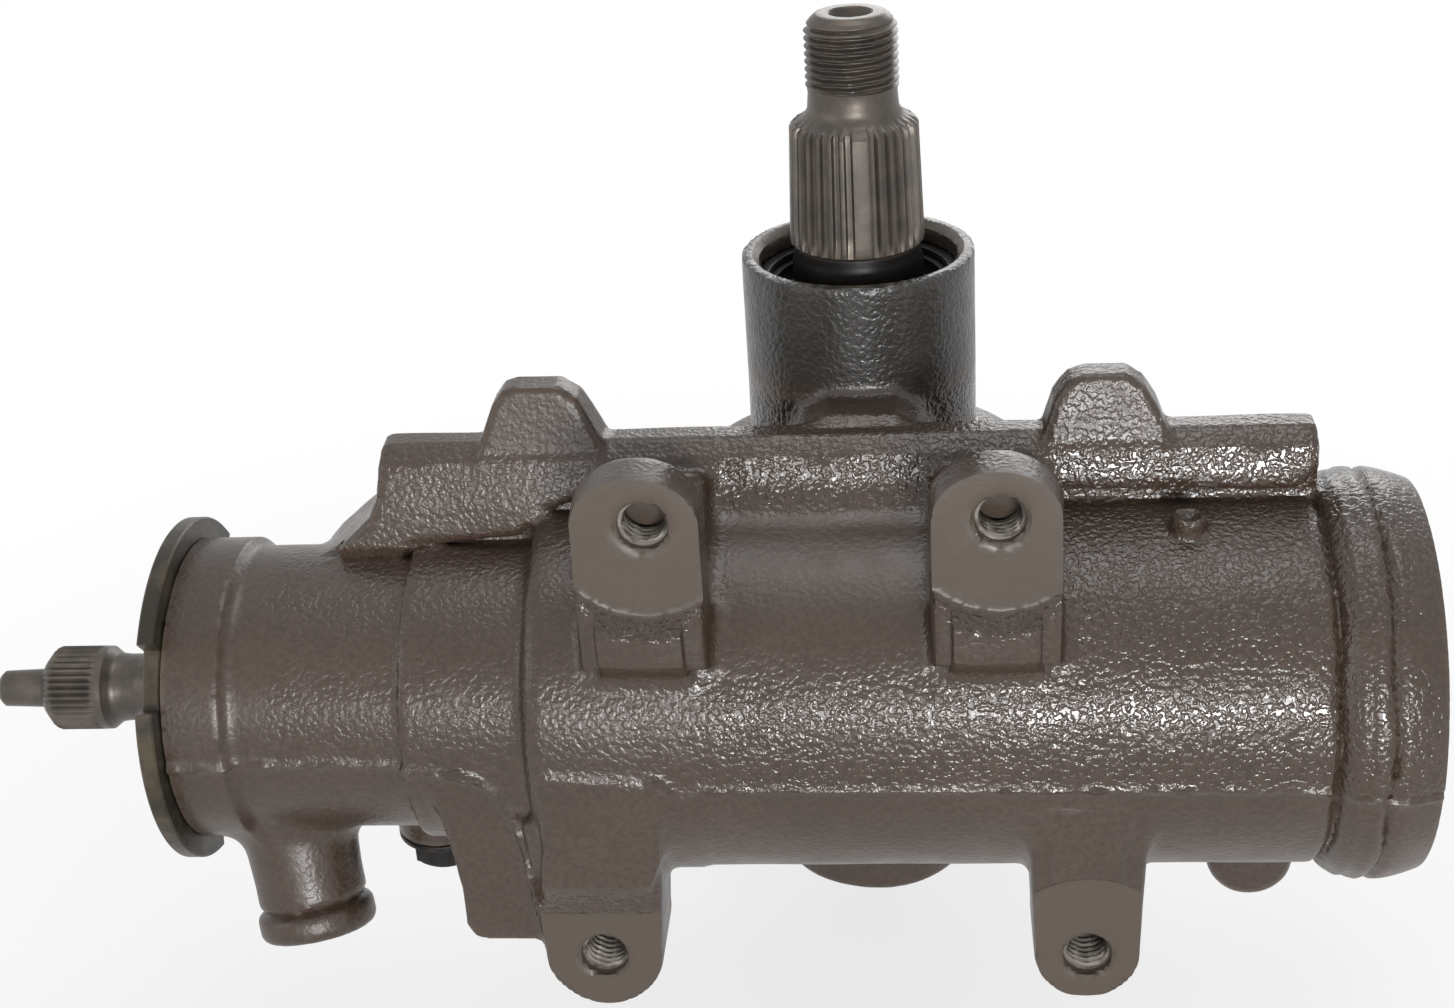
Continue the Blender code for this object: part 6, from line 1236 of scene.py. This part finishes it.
# %% [markdown]
# Behind the end flange sit the cylinder plug, with its cast recess and square drive, and the round
# wire ring that holds it in.

# %% Cylinder end plug


def cylinder_end_plug():
    """A turned disc: groove, recess and boss, the boss with a square socket."""
    low, high = span("cylinder_end_plug")
    start, boss, rim = low[0], high[0], END_RING_LOW_X
    groove = span("end_plug_o_ring")[0][0] - 0.6
    profile = [
        (start, 0.0), (start, 41.5), (groove, 41.5), (groove, 38.9), (groove + 3.6, 38.9),
        (groove + 3.6, 41.5), (rim, 41.5), (rim, 33.4), (rim - 3.5, 31.0), (rim - 3.5, 17.6),
        (boss - 1.4, 16.2), (boss, 15.0), (boss, 30.0, 6.5), (boss - 9.5, 30.0, 6.5), (boss - 9.5, 0.0, 6.5),
    ]
    return turned_piece("end_plug_turned", profile, "gearbox", PAINTED_STEEL, ("cylinder_end_plug",),
                        edge=0.5, sides=4, columns=128)


cylinder_end_plug()

# %% [markdown]
# Retaining rings are sprung open to fit, so each is most of a circle with a gap. The section is a
# rounded square carried along the arc, with its two ends capped.

# %% Split rings
RING_GAP = 6.0


def split_ring(name, node, axis, centre, width, mouth, turn):
    """A ring with a gap: its section is a rounded square, its path an arc that stops short of a turn."""
    low, high = span(node)
    along_axis = AXES[axis][0]
    outer = (high - low).max() / 2
    start, end = low[along_axis], high[along_axis]
    section = softened([(start, outer - width), (start, outer), (end, outer), (end, outer - width)], 0.35,
                       ring=True)[:, :2]
    gap = math.asin(mouth / 2 / outer)
    angle = np.linspace(turn + gap, turn + 2 * math.pi - gap, 160)
    along, radius = (section[:, k][None, :] + 0 * angle[:, None] for k in (0, 1))
    arc = placed(along, radius, angle[:, None], axis, centre)
    caps = [np.broadcast_to(arc[k].mean(axis=0), arc[k].shape) for k in (0, -1)]
    points = np.concatenate([caps[0][None], arc, caps[1][None]])
    faces = grid_faces(points.shape[0], points.shape[1])
    return make_piece(name, points.reshape(-1, 3), faces, "gearbox", HARDWARE, (node,))


split_ring("end_plug_snap_ring", "end_plug_retaining_ring", "X", (0, 0, 0), 3.8, RING_GAP, -math.pi / 2)
split_ring("pitman_snap_ring", "pitman_retaining_ring", "Z", ON_PITMAN, 3.4, RING_GAP, math.radians(-240))

# %% [markdown]
# Inside the boss you see, from the shaft outwards, the seal's lip, its steel case, and the washer.

# %% Outer pitman seal and washer


def pitman_seal():
    """The seal's case and lip as one ring, then the washer on it."""
    low, high = span("pitman_outer_seal")
    bottom, top = low[2], high[2]
    outer = 23.9
    profile = [
        (bottom, 17.0), (bottom, outer), (top - 0.8, outer), (top - 0.8, outer - 1.2),
        (top - 3.4, outer - 1.9), (top - 3.4, 18.6), (top - 0.9, 17.3), (top, 16.8), (top, 16.4),
        (top - 1.4, 16.3), (bottom + 2.0, 17.4),
    ]
    turned_piece("seal_lip", profile, "gearbox", NITRILE, ("pitman_outer_seal",), "Z", ON_PITMAN, ring=True)
    low, high = span("pitman_seal_washer")
    washer = [(low[2], 20.2), (low[2], outer), (high[2], outer), (high[2], 20.2)]
    turned_piece("seal_washer", washer, "gearbox", HARDWARE, ("pitman_seal_washer",), "Z", ON_PITMAN,
                 ring=True, edge=0.2)


pitman_seal()

# %% [markdown]
# Fasteners. A hexagon head is a cone cut by six flats: the lower of the two radii at each point. The
# cone leaves the arcs that a real head shows at its corners.

# %% Bolts, nut, plug and adjuster screw
HEX_COLUMNS = 96
BOLT_FLATS, NUT_FLATS, PLUG_FLATS = 14.3, 19.0, 16.0
BOLT_HEAD = 6.6


def cover_bolt(k, bolt_x, bolt_y):
    """A hexagon head on a round flange, and the shank up to its tip."""
    seat, tip = PLATE_BOTTOM_Z - 0.3, span(f"side_cover_bolt_{k + 1}")[1][2]
    end = seat - BOLT_HEAD
    half = BOLT_FLATS / 2
    profile = [
        (end, 0.0), (end, 6.3, half), (end + 0.7, 7.4, half), (end + 1.6, 8.6, half),
        (seat - 2.4, 8.6, half), (seat - 2.0, 8.8), (seat - 0.5, 9.8), (seat, 9.7), (seat, 4.6),
        (tip - 1.2, 4.6), (tip, 3.6), (tip, 0.0),
    ]
    turned_piece(f"flange_bolt_{k + 1}", profile, "gearbox", HARDWARE, (f"side_cover_bolt_{k + 1}",), "Z",
                 (bolt_x, bolt_y, 0), edge=0.25, columns=HEX_COLUMNS, turn=math.radians(15 * k))


def lash_adjuster():
    """The threaded screw with its hexagon socket, and the lock nut on it."""
    low, high = span("lash_adjuster_screw")
    end, top = low[2], high[2]
    profile = [
        (end + 4.5, 0.0, 2.4), (end + 4.5, 2.77, 2.4), (end, 2.77, 2.4), (end, 4.0), (end + 0.9, 5.0),
        (top - 3.9, 5.0), (top - 3.9, 8.8), (top, 8.8), (top, 0.0),
    ]
    rows = rows_between(softened(profile, 0.15), lambda z: 0.2 if z < end + 24 else 40.0)
    along, radius, angle = spun(rows, columns=HEX_COLUMNS)
    outside = (radius > 4.6) & (along < top - 5)
    radius = radius - np.where(outside, thread_drop(along, angle, 1.5, 0.75, end + 0.4, end + 23.0), 0.0)
    points = placed(along, radius, angle, "Z", ON_PITMAN)
    make_piece("lash_screw_threaded", points.reshape(-1, 3), grid_faces(*radius.shape), "gearbox", HARDWARE,
               ("lash_adjuster_screw",))
    low, high = span("lash_lock_nut")
    bottom, top = low[2], high[2]
    half = NUT_FLATS / 2
    nut = [
        (bottom, 5.3), (bottom, 9.0, half), (bottom + 0.7, 10.2, half), (bottom + 1.3, 12.0, half),
        (top - 1.3, 12.0, half), (top - 0.7, 10.2, half), (top, 9.0, half), (top, 5.3),
    ]
    turned_piece("lock_nut_chamfered", nut, "gearbox", HARDWARE, ("lash_lock_nut",), "Z", ON_PITMAN,
                 ring=True, edge=0.15, columns=HEX_COLUMNS, turn=math.radians(40))


def port_plug():
    """A hexagon head on a thin flange, screwed up into its port."""
    low, high = span("pressure_port_plug")
    head, tip = low[2], high[2]
    seat = PLUG_SEAT_Z - 0.3
    half = PLUG_FLATS / 2
    profile = [
        (head, 0.0), (head, 7.0, half), (head + 0.7, 8.2, half), (head + 1.4, 9.6, half),
        (seat - 2.4, 9.6, half), (seat - 1.9, 10.2), (seat - 1.5, 11.6), (seat - 0.3, 11.6), (seat, 11.3),
        (seat, 6.2), (tip - 1.0, 6.2), (tip, 5.4), (tip, 0.0),
    ]
    turned_piece("port_plug_flanged", profile, "gearbox", HARDWARE, ("pressure_port_plug",), "Z",
                 (*PLUG_PORT, 0), edge=0.2, columns=HEX_COLUMNS, turn=math.radians(12))


for k, place in enumerate(COVER_BOLTS):
    cover_bolt(k, *place)
lash_adjuster()
port_plug()

# %% [markdown]
# Tapped holes. Each thread is a sleeve in its hole: a height field that faces inwards, and a plain
# outside that touches the casting. The return port has one too, with the bronze tube seat behind it.

# %% Threads in the mounting holes and in the return port


def tapped_sleeve(radius, pitch, depth, start, end):
    """Rows run down the threaded inside and back up the plain outside, as one closed ring."""
    inner = np.arange(start, end, pitch / 9)
    rows = np.concatenate([np.stack([inner, np.full(len(inner), radius - depth)], axis=1),
                           [(end, radius - 0.05), (start, radius - 0.05)]])
    rows = np.concatenate([rows, np.full((len(rows), 1), ROUND)], axis=1)
    along, shape, angle = spun(rows, columns=64)
    cut = thread_drop(along, angle, pitch, depth - 0.1, start - 2, end + 2)
    shape = np.where(np.arange(len(rows))[:, None] < len(inner), shape + cut, shape)
    return along, shape, angle


for k, (hole_x, hole_z) in enumerate(UPPER_HOLES + LOWER_HOLES):
    deep = PAD_HOLE_DEPTH if hole_z > 0 else EAR_HOLE_DEPTH
    along, radius, angle = tapped_sleeve(THREAD_MAJOR_R, PITCH_14, 0.95, 2.1, deep - 0.4)
    points = placed(PAD_FACE_Y + along, radius, angle, "Y", (hole_x, 0, hole_z))
    make_piece(f"tapped_thread_{k + 1}", points.reshape(-1, 3), grid_faces(*radius.shape, ring=True),
               "gearbox", TAPPED, smooth_below=math.radians(50))

port_turn = Vector(PORT_WAY).to_track_quat('X', 'Z').to_matrix()
along, radius, angle = tapped_sleeve(7.55, 1.4, 0.8, PORT_END - 16.0 + 8.0, PORT_END - 1.2)
points = placed(along, radius, angle).reshape(-1, 3) @ np.array(port_turn).T + PORT_START
make_piece("port_thread", points, grid_faces(*radius.shape, ring=True), "gearbox", HARDWARE,
           smooth_below=math.radians(50))

# %% [markdown]
# The camera. It was solved from the housing's circles in the photograph: it stands 5.7 degrees to the
# right of straight on, looks 26 degrees down, and leans 3.6 degrees.

# %% The camera
IMAGE_WIDTH = 1454
FOCAL_PIXELS = 2201.6
CAMERA_PLACE = (15.18, -455.0, 271.1)
CAMERA_YAW, CAMERA_PITCH, CAMERA_ROLL = (math.radians(a) for a in (5.73, 26.10, -3.64))


def make_camera():
    """Columns of the camera's matrix: right, up and back, rolled about the way that it looks."""
    yaw, pitch, roll = CAMERA_YAW, CAMERA_PITCH, CAMERA_ROLL
    way = Vector((-math.sin(yaw) * math.cos(pitch), math.cos(yaw) * math.cos(pitch), -math.sin(pitch)))
    level = Vector((math.cos(yaw), math.sin(yaw), 0))
    above = level.cross(way)
    right = level * math.cos(roll) + above * math.sin(roll)
    up = above * math.cos(roll) - level * math.sin(roll)
    data = bpy.data.cameras.new("camera")
    data.sensor_width = 36.0
    data.lens = FOCAL_PIXELS / IMAGE_WIDTH * data.sensor_width
    camera = bpy.data.objects.new("camera", data)
    place = (np.array(CAMERA_PLACE) + ORIGIN) * MM
    turn = Matrix((right, up, -way)).transposed().to_4x4()
    camera.matrix_world = Matrix.Translation(place.tolist()) @ turn
    bpy.context.scene.collection.objects.link(camera)
    bpy.context.scene.camera = camera
    print("camera lens, mm:", round(data.lens, 2))


make_camera()

# %% [markdown]
# The photograph's background is pure white, cut out round the object. Here a matt floor keeps a soft
# shadow, and what the camera and the reflections see of floor and sky is mostly plain white, with no
# more light on the object.

# %% Floor and sky
FLOOR_CLEAR_M = (0.10, 0.42)
FLOOR_WHITE_SHARE, FLOOR_HALF_M = 0.74, 4.0
SKY_LIGHT, SKY_SEEN = 0.28, 1.0


def make_floor():
    """A matt floor that keeps the shadow; farther out the camera sees it as plain white."""
    finish = bpy.data.materials.new("pale_floor")
    finish.use_nodes = True
    nodes = finish.node_tree.nodes
    shader = nodes["Principled BSDF"]
    shader.inputs["Base Color"].default_value = linear("#f6f6f6")
    shader.inputs["Roughness"].default_value = 0.95
    place = add_node(finish, "TexCoord").outputs["Object"]
    distance = add_node(finish, "VectorMath", {0: place}, operation='LENGTH').outputs["Value"]
    far = add_node(finish, "MapRange", {"Value": distance, "From Min": FLOOR_CLEAR_M[0],
                                        "From Max": FLOOR_CLEAR_M[1], "To Min": FLOOR_WHITE_SHARE},
                   interpolation_type='SMOOTHSTEP')
    rays = add_node(finish, "LightPath").outputs
    mirror = add_node(finish, "Math", {0: rays["Is Glossy Ray"], 1: rays["Is Transmission Ray"]},
                      operation='MAXIMUM')
    seen = add_node(finish, "Math", {0: rays["Is Camera Ray"], 1: mirror.outputs[0]}, operation='MAXIMUM')
    share = add_node(finish, "Math", {0: far.outputs[0], 1: seen.outputs[0]}, operation='MULTIPLY')
    white = add_node(finish, "Emission", {"Color": linear("#ffffff"), "Strength": 1.0})
    both = add_node(finish, "MixShader", {0: share.outputs[0], 1: shader.outputs[0], 2: white.outputs[0]})
    connect(finish, both.outputs[0], nodes["Material Output"].inputs[0])
    mesh = bpy.data.meshes.new("floor")
    corners = [(-1, -1), (1, -1), (1, 1), (-1, 1)]
    mesh.from_pydata([(FLOOR_HALF_M * a, FLOOR_HALF_M * b, 0) for a, b in corners], [], [(0, 1, 2, 3)])
    mesh.materials.append(finish)
    floor = bpy.data.objects.new("floor", mesh)
    floor.location.z = cad_bounds[0][2] - 0.0005
    bpy.context.scene.collection.objects.link(floor)
    print("floor, mm below the object:", round((cad_bounds[0][2] - floor.location.z) / MM, 2))


def make_world(light, seen):
    """The sky lights the object at one strength; the camera and reflections see it at another."""
    world = bpy.data.worlds.new("studio")
    world.use_nodes = True
    bpy.context.scene.world = world
    background = world.node_tree.nodes["Background"]
    background.inputs[0].default_value = linear("#ffffff")
    rays = add_node(world, "LightPath").outputs
    mirror = add_node(world, "Math", {0: rays["Is Glossy Ray"], 1: rays["Is Transmission Ray"]},
                      operation='MAXIMUM')
    either = add_node(world, "Math", {0: rays["Is Camera Ray"], 1: mirror.outputs[0]}, operation='MAXIMUM')
    share = add_node(world, "MapRange", {"Value": either.outputs[0], "To Min": light, "To Max": seen})
    connect(world, share.outputs[0], background.inputs[1])


make_floor()
make_world(SKY_LIGHT, SKY_SEEN)

# %% [markdown]
# The lamps. A small strong one near the camera gives each grain its own highlight, as in the
# photograph; a softer one beside it fills; the others only lift the edges. A sky alone would light
# the casting evenly, and the grain would vanish.

# %% Lamps
MIDDLE = (0.0, -0.02, 0.1)
LAMPS = {
    "key": ((0.27, -1.20, 0.27), (0.28, 0.13), 9.5),
    "fill": ((-0.12, -1.20, 0.29), (0.36, 0.16), 2.4),
    "top": ((0.1, 0.1, 1.1), (0.6, 0.4), 2.4),
    "left": ((-0.95, -0.45, 0.5), (0.5, 0.5), 1.2),
    "back": ((0.25, 1.15, 0.55), (0.8, 0.5), 4.0),
}


def add_lamp(name, place, size, power):
    """A rectangular area lamp, in metres and watts, turned towards the middle of the object."""
    data = bpy.data.lights.new(name, 'AREA')
    data.shape = 'RECTANGLE'
    data.size, data.size_y = size
    data.energy = power
    lamp = bpy.data.objects.new(name, data)
    lamp.location = place
    lamp.rotation_euler = (Vector(MIDDLE) - Vector(place)).to_track_quat('-Z', 'Y').to_euler()
    bpy.context.scene.collection.objects.link(lamp)


for lamp_name, settings in LAMPS.items():
    add_lamp(lamp_name, *settings)
bpy.context.scene.view_settings.view_transform = 'Standard'
print("lamps:", len(LAMPS))
